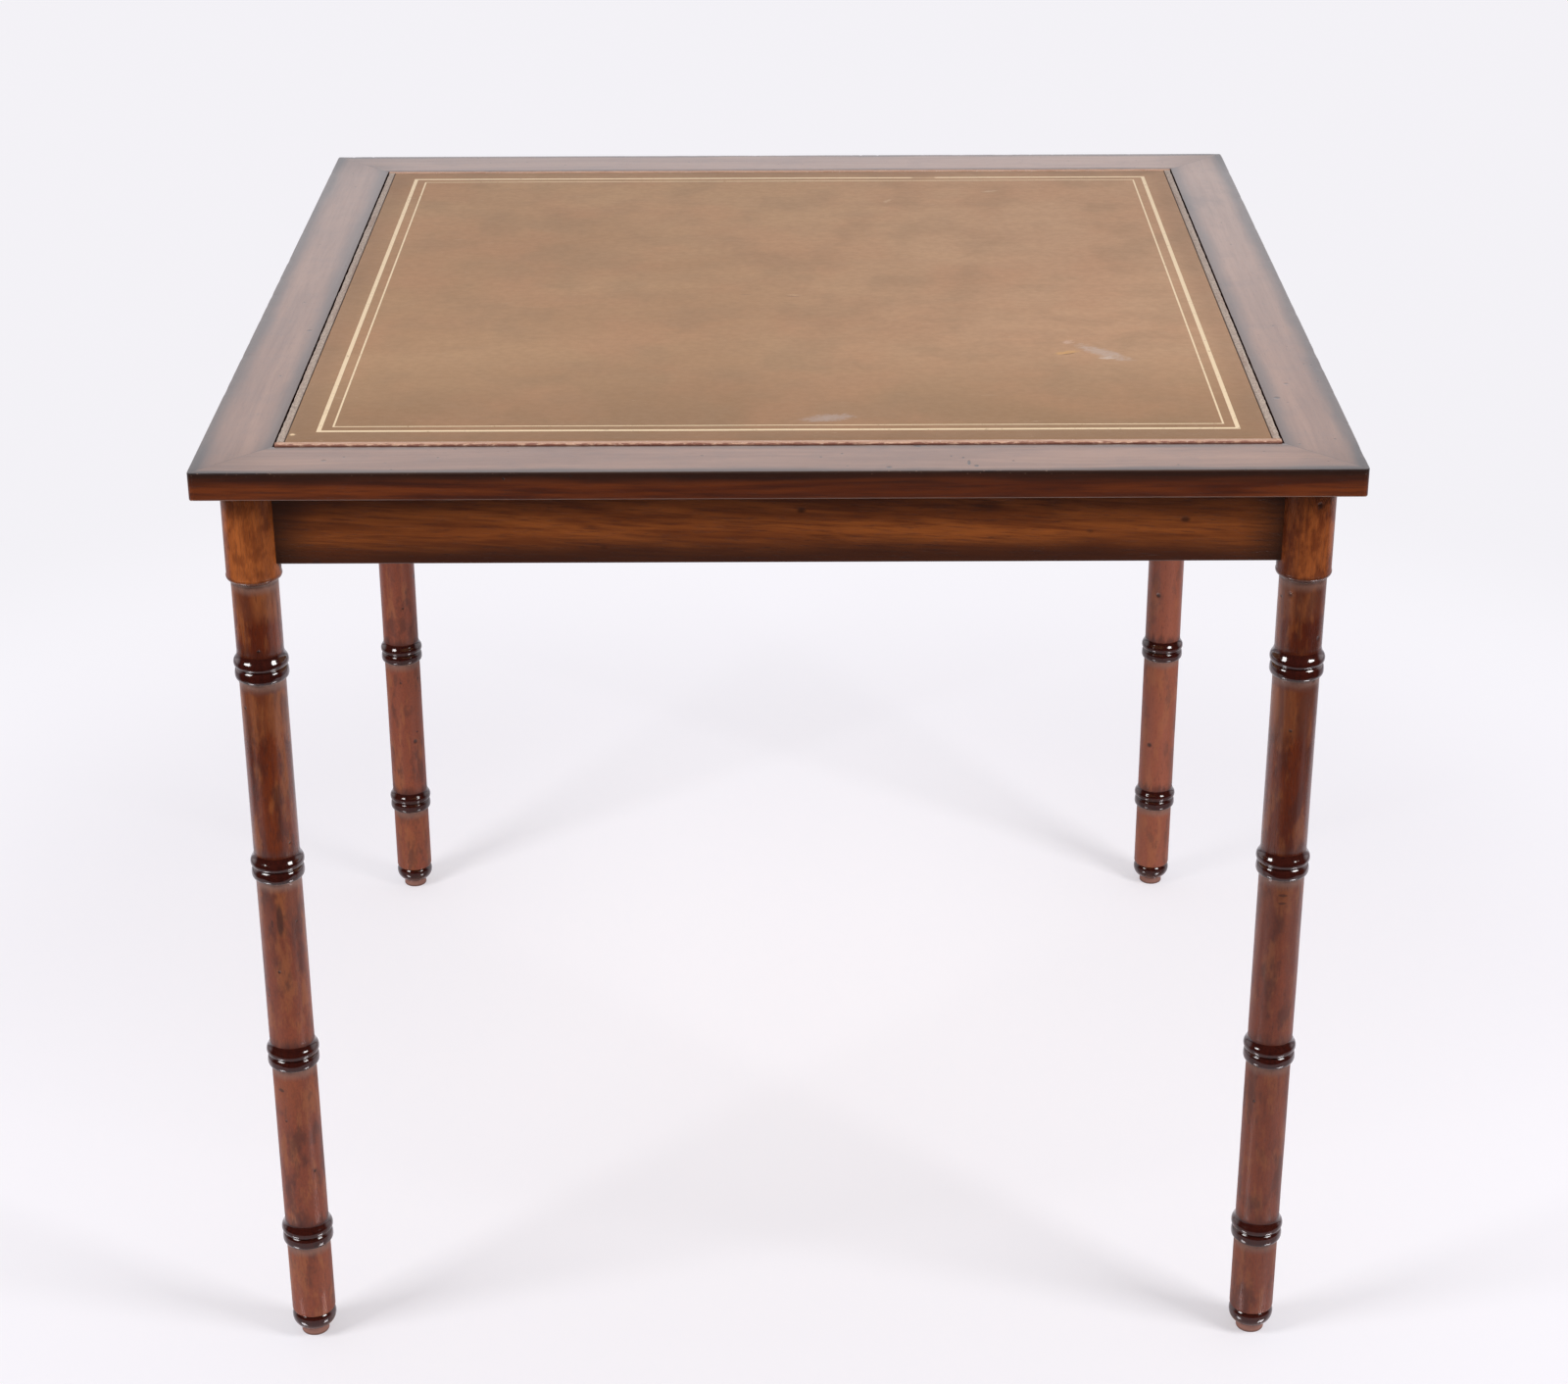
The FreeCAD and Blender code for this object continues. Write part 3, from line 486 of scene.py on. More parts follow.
def turning_tree():
    """Spins an outline round the leg's axis, with the slight waver of a hand-turned piece."""
    tree, (outline, steps, place, waver, finish) = new_shape("leg_turning", {
        "Steps": "Int", "Place": "Vector", "Waver": "Float", "Finish": "Material"})
    profile = outline.node("GeometryNodeMeshToCurve", {}, {"Mesh": outline})
    radius, _, height = outline.position()
    profile = outline.node("GeometryNodeSetPosition", {}, {
        "Geometry": profile, "Position": (radius - SPINDLE_RADIUS).joined(-height, 0.0)})
    spindle = outline.node("GeometryNodeCurvePrimitiveCircle", {}, {
        "Resolution": steps, "Radius": SPINDLE_RADIUS})
    turned = outline.node("GeometryNodeCurveToMesh", {}, {
        "Curve": spindle, "Profile Curve": profile})
    turned = outline.node("GeometryNodeMergeByDistance", {}, {
        "Geometry": turned, "Distance": 0.000001})
    x, y, z = outline.position()
    place_x, place_y, _ = place.split()
    around = outline.node("ShaderNodeVectorMath", {"operation": "NORMALIZE"}, {
        0: x.joined(y, 0.0)})
    around_x, around_y, _ = around.split()
    spot = (around_x + place_x * 9).joined(around_y + place_y * 9, z * 22)
    swell = 1 + waver * 2 * (spot.cloud(1.0, 0.0) - 0.5)
    turned = outline.node("GeometryNodeSetPosition", {}, {
        "Geometry": turned, "Position": (x * swell + place_x).joined(y * swell + place_y, z)})
    return close_shape(tree, turned, finish)


turned_finish = leg_finish()
leg_turning = turning_tree()
turned_outline = [(radius, 0.0, height) for radius, height in leg_outline()]
unworn = np.zeros((len(turned_outline), 3))
for side, sign_y in (("front", -1), ("back", 1)):
    for hand, sign_x in (("left", -1), ("right", 1)):
        name = "leg_%s_%s" % (side, hand)
        leg = grown("turned_" + name, leg_turning, turned_outline, unworn, False, {
            "Steps": TURNING_STEPS, "Waver": LEG_WAVER, "Finish": turned_finish,
            "Place": (sign_x * LEG_PLACE, sign_y * LEG_PLACE, 0.0)})
        piece(leg, "table", [name])


# The four aprons, boards of the same wood housed in the legs under the top. Their stain is a
# golden brown, shaded darker with a spray gun along both edges and towards the legs. Under the
# top that darkening also carries painted shade from the top's overhang.
ANOTHER_BOARD = 3.7


def along_side(place):
    """Coordinates that run with each side of the table: along it, out from the middle to it,
    and up. After them come how far a point is from the side's middle, and how far out. The
    sides meet where the mitres do, and their grain differs."""
    x, y, z = place.split()
    sideways = abs(x).above(abs(y))
    along = x + sideways * (y - x)
    outward = y + sideways * (x - y)
    return along + sideways * ANOTHER_BOARD, outward, z, abs(along), abs(outward)


def apron_finish():
    material, place = new_finish("apron_finish")
    along, outward, z, from_middle, _ = along_side(place)
    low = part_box("apron_front")[0].z
    lengthwise = along.joined(outward, z)
    slanted = along.joined(outward, z + along * 0.05)
    figure = slanted.stretched(7, 40, 80).cloud(1.0, 5.0, 0.62, 0.7)
    streaks = slanted.stretched(24, 260, 420).cloud(1.0, 5.0, 0.65)
    pores = lengthwise.stretched(90, 1000, 1500).cloud(1.0, 1.0).rise(0.62, 0.72)
    wavy = lengthwise.stretched(10, 20, 20).cloud(1.0, 2.0) - 0.5
    stain = figure.rise(0.36, 0.64).between(colour(128, 64, 24), colour(170, 92, 38))
    stain = (streaks.rise(0.44, 0.68) * 0.6).between(stain, colour(88, 38, 14))
    # Darker under the top: sprayed shading, and painted shade from the overhang of the top.
    spray_and_painted_overhang_shade = (z + wavy * 0.008).rise(LEG_TOP - 0.024, LEG_TOP - 0.006)
    foot_shade = (z + wavy * 0.012).rise(low + 0.026, low + 0.003)
    end_shade = (from_middle + wavy * 0.02).rise(LEG_PLACE - 0.050, LEG_PLACE - 0.016)
    knots = lengthwise.stretched(1, 1, 2.2).cells(11.0).rise(0.16, 0.04)
    stain = (knots * streaks.rise(0.3, 0.6) * 0.6).between(stain, colour(70, 30, 12))
    stain = (spray_and_painted_overhang_shade * 0.7).between(stain, colour(64, 29, 10))
    stain = (foot_shade * 0.95).between(stain, colour(58, 27, 15))
    stain = (from_middle.rise(0.16, 0.34) * 0.25).between(stain, colour(84, 38, 14))
    stain = (end_shade * 0.75).between(stain, colour(54, 27, 13))
    knocks = dents(lengthwise.stretched(1, 1, 1.6), 22.0, 0.10)
    stain = (pores * 0.35 + knocks * 0.7).smaller(1.0).between(stain, colour(44, 20, 10))
    roughness = 0.34 + 0.14 * streaks
    surface = streaks * 0.3 - knocks * 1.2 - pores * 0.3
    return coat(material, place, {
        "Base Color": stain, "Roughness": roughness, "Coat Weight": 0.1,
        "Coat Roughness": 0.25, "Specular IOR Level": 0.3, "Normal": surface.relief(0.0002)})


def finish_node(name, material):
    """Give a piece that keeps its built shape its finish."""
    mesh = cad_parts[name].data
    mesh.materials.clear()
    mesh.materials.append(material)


SIDES = ("front", "right", "back", "left")
shaded_finish = apron_finish()
for side in SIDES:
    finish_node("apron_" + side, shaded_finish)


# The mitred frame of the top, four rails of the same wood. The arrises are eased and knocked, and
# the stain is shaded nearly black along them, over a satin varnish that mirrors the room. Just
# under the top arris the upright edge carries painted shade.
TOP_EDGE = cad_box[1].x
FRAME_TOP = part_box("top_rail_front")[1].z
FRAME_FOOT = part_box("top_rail_front")[0].z
RAIL_FACE = 0.051
LEDGE_WIDTH = 0.010
LEDGE_HEIGHT = FRAME_FOOT + 0.008
OPENING = TOP_EDGE - RAIL_FACE
TOP_ARRIS = 0.0010
LOWER_ARRIS = 0.0009
INNER_ARRIS = 0.0005
CORNER_RADIUS = 0.0045
RAIL_STATIONS = 560
# The knocks on the front rail: where, half their width, and half their depth from front to back.
RAIL_MARKS = [(0.096, -0.352, 0.0036, 0.0022), (0.101, -0.350, 0.0020, 0.0030),
              (0.130, -0.384, 0.0012, 0.0050), (0.135, -0.390, 0.0018, 0.0022),
              (0.126, -0.375, 0.0010, 0.0014), (0.044, -0.366, 0.0012, 0.0010),
              (0.030, -0.372, 0.0010, 0.0010), (0.118, -0.372, 0.0008, 0.0012),
              (-0.052, -0.369, 0.0014, 0.0008)]


def frame_finish():
    material, place = new_finish("top_frame_finish")
    along, outward, z, from_middle, reach = along_side(place)
    x, y, _ = place.split()
    lengthwise = along.joined(outward, z)
    figure = lengthwise.stretched(4, 45, 90).cloud(1.0, 4.0, 0.6, 0.6)
    streaks = lengthwise.stretched(14, 260, 330).cloud(1.0, 5.0, 0.65)
    pores = lengthwise.stretched(90, 1300, 1500).cloud(1.0, 1.0).rise(0.62, 0.72)
    smudge = lengthwise.stretched(9, 26, 26).cloud(1.0, 3.0) - 0.5
    drop = FRAME_TOP - z
    on_edge = drop.rise(0.0006, 0.0014)
    flat = figure.rise(0.36, 0.64).between(colour(124, 84, 60), colour(146, 104, 78))
    # Painted light: the top is painted lighter towards the right and the back, where its varnish
    # mirrors more light.
    flat = ((x + y).rise(0.10, 0.65) * 0.50).between(flat, colour(172, 134, 112))
    flat = (streaks.rise(0.45, 0.70) * 0.2).between(flat, colour(98, 60, 42))
    flat = (place.cloud(38.0, 4.0, 0.6).rise(0.50, 0.70) * 0.25).between(flat, colour(104, 74, 62))
    on_side = abs(x).above(abs(y))
    from_edge = (TOP_EDGE - reach + smudge * 0.014) / (0.010 + 0.006 * on_side)
    from_opening = (reach - OPENING + smudge * 0.010) / (1 + 0.7 * on_side)
    corner = from_middle.rise(TOP_EDGE - 0.075, TOP_EDGE - 0.005) * (0.35 + smudge)
    shaded = (from_edge.rise(1.0, 0.12) * 0.88).larger(from_opening.rise(0.009, 0.0005) * 0.75)
    darkened = (shaded + corner * 0.8 + smudge.rise(0.10, 0.30) * 0.35).smaller(1.0)
    flat = darkened.between(flat, colour(42, 28, 25))
    upright = figure.rise(0.35, 0.66).between(colour(80, 32, 10), colour(118, 54, 18))
    upright = (streaks.rise(0.42, 0.66) * 0.6).between(upright, colour(54, 20, 8))
    # Painted shade: the upright edge is darkened nearly black just under its top arris.
    painted_shade_under_arris = (drop + smudge * 0.006).rise(0.0120, 0.0015) * 0.9
    upright = painted_shade_under_arris.between(upright, colour(36, 18, 11))
    stain = on_edge.between(flat, upright)
    mitre = (reach - from_middle).rise(0.0005, 0.0001) * 0.7
    stain = mitre.between(stain, colour(40, 24, 18))
    thickness = FRAME_TOP - FRAME_FOOT
    worn = drop.rise(thickness - 0.0011, thickness - 0.0006)
    worn = worn * streaks.rise(0.30, 0.5) * 0.55
    stain = worn.between(stain, colour(150, 112, 92))
    arris = (TOP_EDGE - reach).rise(0.0030, 0.0008) * drop.rise(0.0030, 0.0008)
    specks = lengthwise.stretched(1, 1.6, 1.6).cells(330.0).rise(0.20, 0.12)
    specks = specks * smudge.rise(-0.02, 0.10)
    stain = (arris * specks * 0.7).between(stain, colour(158, 128, 110))
    knocks = dents(lengthwise, 26.0, 0.085) + dents(lengthwise, 60.0, 0.075)
    for mark_x, mark_y, width, depth in RAIL_MARKS:
        across = (x - mark_x + smudge * 0.004) / width
        down = (y - mark_y + smudge * 0.003) / depth
        knocks = knocks + (across * across + down * down).rise(1.0, 0.4)
    stain = (pores * 0.25 + knocks * 0.85).smaller(1.0).between(stain, colour(34, 18, 12))
    roughness = 0.30 + 0.10 * streaks + 0.06 * smudge
    surface = streaks * 0.15 - knocks * 1.4 - pores * 0.2 - mitre * 0.8
    return coat(material, place, {
        "Base Color": stain, "Roughness": roughness,
        "Coat Weight": (0.9 - 0.10 * shaded - 0.55 * corner) * (1 - 0.35 * on_edge),
        "Coat Roughness": 0.22, "Normal": surface.relief(0.0002)})


def rail_section():
    """The rail's section from its lower outer arris round: how far in from the edge, and how
    high. Each point says how much of the wear it takes."""
    top, foot = FRAME_TOP, FRAME_FOOT
    section = [(LOWER_ARRIS + 0.02, foot, 0.0)]
    section += [(LOWER_ARRIS * (1 - math.sin(angle)),
                 foot + LOWER_ARRIS * (1 - math.cos(angle)), 0.5)
                for angle in np.radians([0, 22, 45, 68, 90])]
    section += [(0.0, foot + 0.004, 0.2), (0.0, top - 0.006, 0.3)]
    section += [(TOP_ARRIS * (1 - math.cos(angle)),
                 top - TOP_ARRIS * (1 - math.sin(angle)), 1.0)
                for angle in np.radians([0, 15, 30, 45, 60, 75, 90])]
    section += [(0.006, top, 0.1), (RAIL_FACE / 2, top, 0.0), (RAIL_FACE - 0.004, top, 0.0)]
    section += [(RAIL_FACE - INNER_ARRIS * (1 - math.sin(angle)),
                 top - INNER_ARRIS * (1 - math.cos(angle)), 0.6)
                for angle in np.radians([0, 45, 90])]
    section += [(RAIL_FACE, LEDGE_HEIGHT, 0.0), (RAIL_FACE + LEDGE_WIDTH, LEDGE_HEIGHT, 0.0),
                (RAIL_FACE + LEDGE_WIDTH, foot, 0.0)]
    return section


def strip_tree():
    """Runs a section along one side of the table, wears its arrises, cuts it to its mitres or
    its length, rounds its outer corners, and turns it to its own side."""
    tree, wires = new_shape("side_strip", {
        "Stations": "Int", "Edge": "Float", "Half length": "Float", "Mitred": "Float",
        "Corner": "Float", "Density": "Float", "Even wear": "Float", "Depth": "Float",
        "Seed": "Float", "Turn": "Float", "Finish": "Material"})
    section, stations, edge, half_length, mitred, corner = wires[:6]
    density, even, depth, seed, turn, finish = wires[6:]
    _, across, height = section.position()
    profile = section.node("GeometryNodeSetPosition", {}, {
        "Geometry": section.node("GeometryNodeMeshToCurve", {}, {"Mesh": section}),
        "Position": (-across).joined(-height, 0.0)})
    run = section.node("GeometryNodeCurvePrimitiveLine", {}, {
        "Start": (-1, 0, 0), "End": (1, 0, 0)})
    run = section.node("GeometryNodeResampleCurve", {}, {"Curve": run, "Count": stations + 1})
    share = section.position()[0]
    closer = (share * (math.pi / 2)).function("SINE")
    run = section.node("GeometryNodeSetPosition", {}, {
        "Geometry": run, "Position": closer.joined(0.0, 0.0)})
    strip = section.node("GeometryNodeCurveToMesh", {}, {
        "Curve": run, "Profile Curve": profile, "Fill Caps": True})
    share, y, z = section.position()
    x = share * (half_length + mitred * (-y - half_length))
    broad = ((x * density).joined(seed, z * density * 1.5).cloud(1.0, 0.0) - 0.5) * 2
    small = ((x * density * 4).joined(seed * 4, z * density * 6).cloud(1.0, 0.0) - 0.5) * 2
    worn = depth * ((broad + even).larger(0.0) + 2.4 * (small - 0.45).larger(0.0))
    wear = section.node("GeometryNodeInputNamedAttribute", {"data_type": "FLOAT_VECTOR"}, {
        "Name": "wear"})
    _, inward, lowered = wear.split()
    y = y + worn * inward
    z = z - worn * lowered
    core = edge - corner
    beyond_x = (abs(x) - core).larger(0.0)
    beyond_y = (-y - core).larger(0.0)
    beyond = (beyond_x * beyond_x + beyond_y * beyond_y).function("SQRT")
    drawn_in = (corner / beyond).smaller(1.0)
    x = x.function("SIGN") * (abs(x).smaller(core) + beyond_x * drawn_in)
    y = -((-y).smaller(core) + beyond_y * drawn_in)
    turned = section.node("ShaderNodeVectorRotate", {"rotation_type": "Z_AXIS"}, {
        "Vector": x.joined(y, z), "Angle": turn})
    strip = section.node("GeometryNodeSetPosition", {}, {"Geometry": strip, "Position": turned})
    return close_shape(tree, strip, finish)


side_strip = strip_tree()
rail_finish = frame_finish()
section = rail_section()
for quarter_turns, side in enumerate(SIDES):
    rail = grown(
        "worn_rail_" + side, side_strip,
        [(0.0, inward - TOP_EDGE, height) for inward, height, _ in section],
        [(0.0, wear, wear * 0.6 * (height > LEDGE_HEIGHT)) for _, height, wear in section], True,
        {"Stations": RAIL_STATIONS, "Edge": TOP_EDGE, "Half length": TOP_EDGE, "Mitred": 1.0,
         "Corner": CORNER_RADIUS, "Density": 60.0, "Even wear": -0.15, "Depth": 0.0005,
         "Seed": quarter_turns * 5.3, "Turn": math.radians(90 * quarter_turns),
         "Finish": rail_finish})
    piece(rail, "table", ["top_rail_" + side], sharp=math.radians(30))
finish_node("mitre_keys", rail_finish)


# The loose panel's lippings, thin strips of bare-edged hardwood round the board. The front and
# back ones are worn pale and chipped. Those at the sides are greyer, with dark glue beside the
# leather.
PANEL_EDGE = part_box("lipping_front")[1].x
PANEL_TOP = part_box("lipping_front")[1].z
PANEL_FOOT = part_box("lipping_front")[0].z
LIPPING_WIDTH = 0.006
LIPPING_ARRIS = 0.0008
LIPPING_STATIONS = 420


def lipping_finish():
    material, place = new_finish("lipping_finish")
    along, outward, z, _, reach = along_side(place)
    x, y, _ = place.split()
    lengthwise = along.joined(outward, z)
    at_side = abs(x).above(PANEL_EDGE - LIPPING_WIDTH) * abs(y).rise(
        PANEL_EDGE - LIPPING_WIDTH + 0.0001, PANEL_EDGE - LIPPING_WIDTH - 0.0001)
    fibres = lengthwise.stretched(60, 900, 900).cloud(1.0, 4.0, 0.7)
    speckle = lengthwise.stretched(700, 700, 700).cloud(1.0, 3.0, 0.7)
    pale = fibres.rise(0.35, 0.68).between(colour(204, 164, 138), colour(174, 128, 102))
    grey = speckle.rise(0.38, 0.62).between(colour(186, 168, 150), colour(142, 122, 110))
    tone = at_side.between(pale, grey)
    smear = lengthwise.stretched(14, 200, 200).cloud(1.0, 3.0).rise(0.5, 0.7)
    tone = (smear * (0.25 + 0.15 * at_side)).between(tone, colour(132, 92, 72))
    flecks = speckle.rise(0.58, 0.66) * (1 - at_side)
    tone = (flecks * 0.6).between(tone, colour(222, 200, 188))
    ragged = lengthwise.stretched(150, 420, 420).cloud(1.0, 3.0, 0.65) - 0.5
    chipped = (reach + ragged * 0.007).rise(PANEL_EDGE - 0.0012, PANEL_EDGE - 0.0002)
    tone = (chipped * (1 - at_side) * 0.75).between(tone, colour(110, 50, 36))
    lower = (PANEL_TOP - z).rise(0.0006, 0.0018)
    tone = lower.between(tone, colour(78, 30, 18))
    glue = reach.band(PANEL_EDGE - LIPPING_WIDTH, PANEL_EDGE - LIPPING_WIDTH + 0.0004, 0.0003)
    tone = (glue * at_side * 0.8).between(tone, colour(70, 46, 34))
    surface = fibres * 0.6 + speckle * 0.6
    return coat(material, place, {
        "Base Color": tone, "Roughness": 0.5 + 0.2 * fibres, "Coat Weight": 0.15,
        "Coat Roughness": 0.3, "Normal": surface.relief(0.0002)})


edge_finish = lipping_finish()
section = [(0.0, PANEL_FOOT, 0.0), (0.0, PANEL_TOP - LIPPING_ARRIS - 0.0006, 0.6),
           (0.00008, PANEL_TOP - LIPPING_ARRIS * 0.6, 1.0),
           (0.0003, PANEL_TOP - LIPPING_ARRIS * 0.2, 1.0), (0.0009, PANEL_TOP - 0.00002, 0.6),
           (LIPPING_WIDTH / 2, PANEL_TOP, 0.0), (LIPPING_WIDTH - 0.0006, PANEL_TOP - 0.00003, 0.3),
           (LIPPING_WIDTH - 0.0002, PANEL_TOP - 0.0003, 0.0),
           (LIPPING_WIDTH - 0.00015, PANEL_FOOT, 0.0)]
for quarter_turns, side in enumerate(SIDES):
    through = side in ("front", "back")
    strip = grown(
        "worn_lipping_" + side, side_strip,
        [(0.0, inward - PANEL_EDGE, height) for inward, height, _ in section],
        [(0.0, wear, wear * 0.5) for _, _, wear in section], True,
        {"Stations": LIPPING_STATIONS, "Edge": PANEL_EDGE, "Mitred": 0.0, "Corner": 0.0,
         "Half length": PANEL_EDGE if through else PANEL_EDGE - LIPPING_WIDTH,
         "Density": 130.0, "Even wear": 0.60, "Depth": 0.0004, "Seed": quarter_turns * 3.1,
         "Turn": math.radians(90 * quarter_turns), "Finish": edge_finish})
    piece(strip, "games_panel", ["lipping_" + side])


# The leather skin glued on the panel between the lippings: tan hide, sponged and antiqued in soft
# clouds, creased and scratched by use, with two gold lines tooled into it with a hot roll.
LEATHER_EDGE = PANEL_EDGE - LIPPING_WIDTH
LEATHER_TOP = PANEL_TOP - 0.00008
LEATHER_GAP = 0.0002
LEATHER_UNEVENNESS = 0.00006
ROLLED_WIDTH = 0.0016
ROLLED_DROP = 0.0004
OUTER_LINE = 0.3208
OUTER_LINE_WIDTH = 0.0031
INNER_LINE = 0.3116
INNER_LINE_WIDTH = 0.0013
LEATHER_CELLS = 230
# The marks in the leather: where, the way they run in degrees, half their length and half their
# width, how strong they are, and their colour.
LEATHER_MARKS = [(0.242, -0.158, -46, 0.033, 0.0100, 0.62, (188, 168, 156)),
                 (0.243, -0.170, 10, 0.008, 0.0040, 0.60, (208, 190, 176)),
                 (0.215, -0.157, 23, 0.013, 0.0046, 0.70, (206, 158, 96)),
                 (0.216, -0.160, 23, 0.009, 0.0016, 0.70, (128, 88, 50)),
                 (0.218, -0.133, 20, 0.006, 0.0050, 0.60, (206, 172, 152)),
                 (0.035, -0.297, 12, 0.026, 0.0100, 0.45, (180, 168, 164)),
                 (0.010, -0.0185, -14, 0.009, 0.0016, 0.60, (134, 102, 78)),
                 (0.012, -0.0150, -6, 0.009, 0.0016, 0.50, (204, 172, 140)),
                 (-0.026, -0.0135, 5, 0.007, 0.0014, 0.50, (140, 108, 82)),
                 (0.093, 0.247, 60, 0.009, 0.0030, 0.50, (204, 174, 142)),
                 (0.183, 0.2765, 15, 0.009, 0.0035, 0.50, (206, 178, 150)),
                 (-0.338, -0.3266, 0, 0.003, 0.0028, 0.90, (238, 208, 168))]
# The creases: where, how far they reach, and how deep they are.
LEATHER_CREASES = [((0.011, -0.017), 0.009, 0.00020), ((-0.026, -0.013), 0.008, 0.00018),
                   ((0.215, -0.157), 0.009, 0.00022), ((-0.338, -0.3266), 0.004, 0.0001)]
# The bald stretch in the back gold line: its middle, and how far it reaches either way.
BALD_GOLD = (0.127, 0.012)


def leather_finish():
    material, place = new_finish("leather_finish")
    x, y, _ = place.split()
    reach = abs(x).larger(abs(y))
    clouds = place.stretched(4, 6, 1).cloud(1.0, 3.0, 0.5, 0.4)
    patches = place.stretched(13, 12, 1).cloud(1.0, 3.0, 0.50, 0.3)
    sponged = place.stretched(22, 20, 1).cloud(1.0, 3.0, 0.50, 0.2)
    fine = place.stretched(160, 200, 1).cloud(1.0, 4.0, 0.6)
    brushed = place.stretched(9, 70, 1).cloud(1.0, 4.0, 0.6, 0.3)
    hide = clouds.rise(0.34, 0.66).between(colour(171, 131, 94), colour(182, 143, 105))
    # Painted light: the hide is painted lighter towards the right, except near the front.
    hide = (x.rise(-0.10, 0.26) * y.rise(-0.32, -0.10) * 0.45).between(hide, colour(200, 158, 126))
    hide = (y.rise(-0.10, -0.34) * 0.75).between(hide, colour(138, 104, 70))
    hide = (patches.rise(0.40, 0.70) * 0.36).between(hide, colour(184, 134, 98))
    hide = (sponged.rise(0.42, 0.72) * 0.40).between(hide, colour(152, 120, 88))
    hide = (brushed.rise(0.35, 0.7) * 0.12).between(hide, colour(150, 116, 88))
    hide = (fine.rise(0.3, 0.7) * 0.12).between(hide, colour(110, 84, 62))
    border = reach.rise(LEATHER_EDGE - 0.030, LEATHER_EDGE - 0.004) * 0.35
    hide = border.between(hide, colour(128, 98, 74))
    scratches = place.stretched(60, 420, 1).cloud(1.0, 2.0, 0.5, 1.5).rise(0.70, 0.76)
    hide = (scratches * 0.35).between(hide, colour(196, 172, 146))
    outer, inner = [
        reach.band(line - width / 2, line + width / 2, 0.0001)
        for line, width in ((OUTER_LINE, OUTER_LINE_WIDTH), (INNER_LINE, INNER_LINE_WIDTH))]
    rubbed = place.stretched(260, 260, 1).cloud(1.0, 4.0, 0.7).rise(0.30, 0.42)
    torn = place.stretched(240, 420, 1).cloud(1.0, 4.0, 0.75)
    for middle_x, middle_y, direction, length, width, strength, tone in LEATHER_MARKS:
        turn = math.radians(direction)
        across = ((x - middle_x) * math.cos(turn) + (y - middle_y) * math.sin(turn)) / length
        down = ((y - middle_y) * math.cos(turn) - (x - middle_x) * math.sin(turn)) / width
        mark = (across * across + down * down + torn * 2.4).rise(2.0, 1.2) * strength
        hide = mark.between(hide, colour(*tone))
    bald_x, bald_reach = BALD_GOLD
    bald = abs(x - bald_x).rise(bald_reach, bald_reach * 0.7) * y.above(INNER_LINE + 0.002)
    gold = outer.larger(inner) * (0.35 + 0.65 * rubbed) * (1 - 0.7 * bald)
    hide = gold.between(hide, colour(240, 214, 174))
    pebbles = place.stretched(1, 1, 0).cells(900.0)
    surface = pebbles * 0.35 + fine * 0.5 + patches * 0.8 - outer.larger(inner) * 0.7
    roughness = 0.50 + 0.12 * fine - gold * 0.16
    return coat(material, place, {
        "Base Color": hide, "Roughness": roughness, "Metallic": gold * 0.35,
        "Specular IOR Level": 0.32, "Normal": surface.relief(0.00022)})


def plain_mesh(name, points, faces, material):
    mesh = bpy.data.meshes.new(name)
    mesh.from_pydata(points, [], faces)
    mesh.materials.append(material)
    return mesh


def leather_skin(material):
    """A thin skin with rolled-down edges, faintly uneven over the board, with a few creases."""
    half = LEATHER_EDGE - LEATHER_GAP
    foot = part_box("leather_top")[0].z
    steps = np.linspace(-half, half, LEATHER_CELLS + 1)
    points = []
    for y in steps:
        for x in steps:
            reach = max(abs(x), abs(y))
            uneven = LEATHER_UNEVENNESS * (noise.noise(Vector((x * 14, y * 20, 1.7))) - 1)
            edge = -ROLLED_DROP * max(0.0, 1 - (half - reach) / ROLLED_WIDTH) ** 2
            for middle, size, depth in LEATHER_CREASES:
                across = (Vector((x, y)) - Vector(middle)).length / size
                uneven -= depth * math.exp(-across ** 2) * (0.5 + 0.5 * math.sin(x * 900 + y * 500))
            points.append((x, y, LEATHER_TOP + min(0.0, uneven + edge)))
    row = LEATHER_CELLS + 1
    faces = [(j * row + i, j * row + i + 1, (j + 1) * row + i + 1, (j + 1) * row + i)
             for j in range(LEATHER_CELLS) for i in range(LEATHER_CELLS)]
    rim = (list(range(row)) + [j * row + row - 1 for j in range(1, row)]
           + [(row - 1) * row + i for i in range(row - 2, -1, -1)]
           + [j * row for j in range(row - 2, 0, -1)])
    below = len(points)
    points += [(points[index][0], points[index][1], foot) for index in rim]
    for index, corner in enumerate(rim):
        following = (index + 1) % len(rim)
        faces.append((rim[following], corner, below + index, below + following))
    faces.append(tuple(reversed(range(below, below + len(rim)))))
    skin = plain_mesh("leather_skin", points, faces, material)
    return piece(skin, "games_panel", ["leather_top"])


leather_skin(leather_finish())


# The panel's board and the chessboard under it: squares, stringing and banding of sawn veneer,
# laid flush in the board, scraped level and polished.
STRINGING_WIDTH = 0.003


def veneer_finish(name, light, dark, roughness=0.3):
    """A polished veneer: pale and dark of its figure, with the grain from front to back."""
    material, place = new_finish(name)
    x, y, z = place.split()
    figure, streaks, pores = grain(y.joined(x, z))
    tone = figure.rise(0.33, 0.67).between(colour(*light), colour(*dark))
    tone = (streaks.rise(0.42, 0.70) * 0.5).between(tone, colour(*dark))
    tone = (pores * 0.4).between(tone, colour(*[part * 0.6 for part in dark]))
    surface = streaks * 0.2 - pores * 0.3
    return coat(material, place, {
        "Base Color": tone, "Roughness": roughness + 0.12 * streaks, "Coat Weight": 0.3,
        "Coat Roughness": 0.12, "Normal": surface.relief(0.0001)})


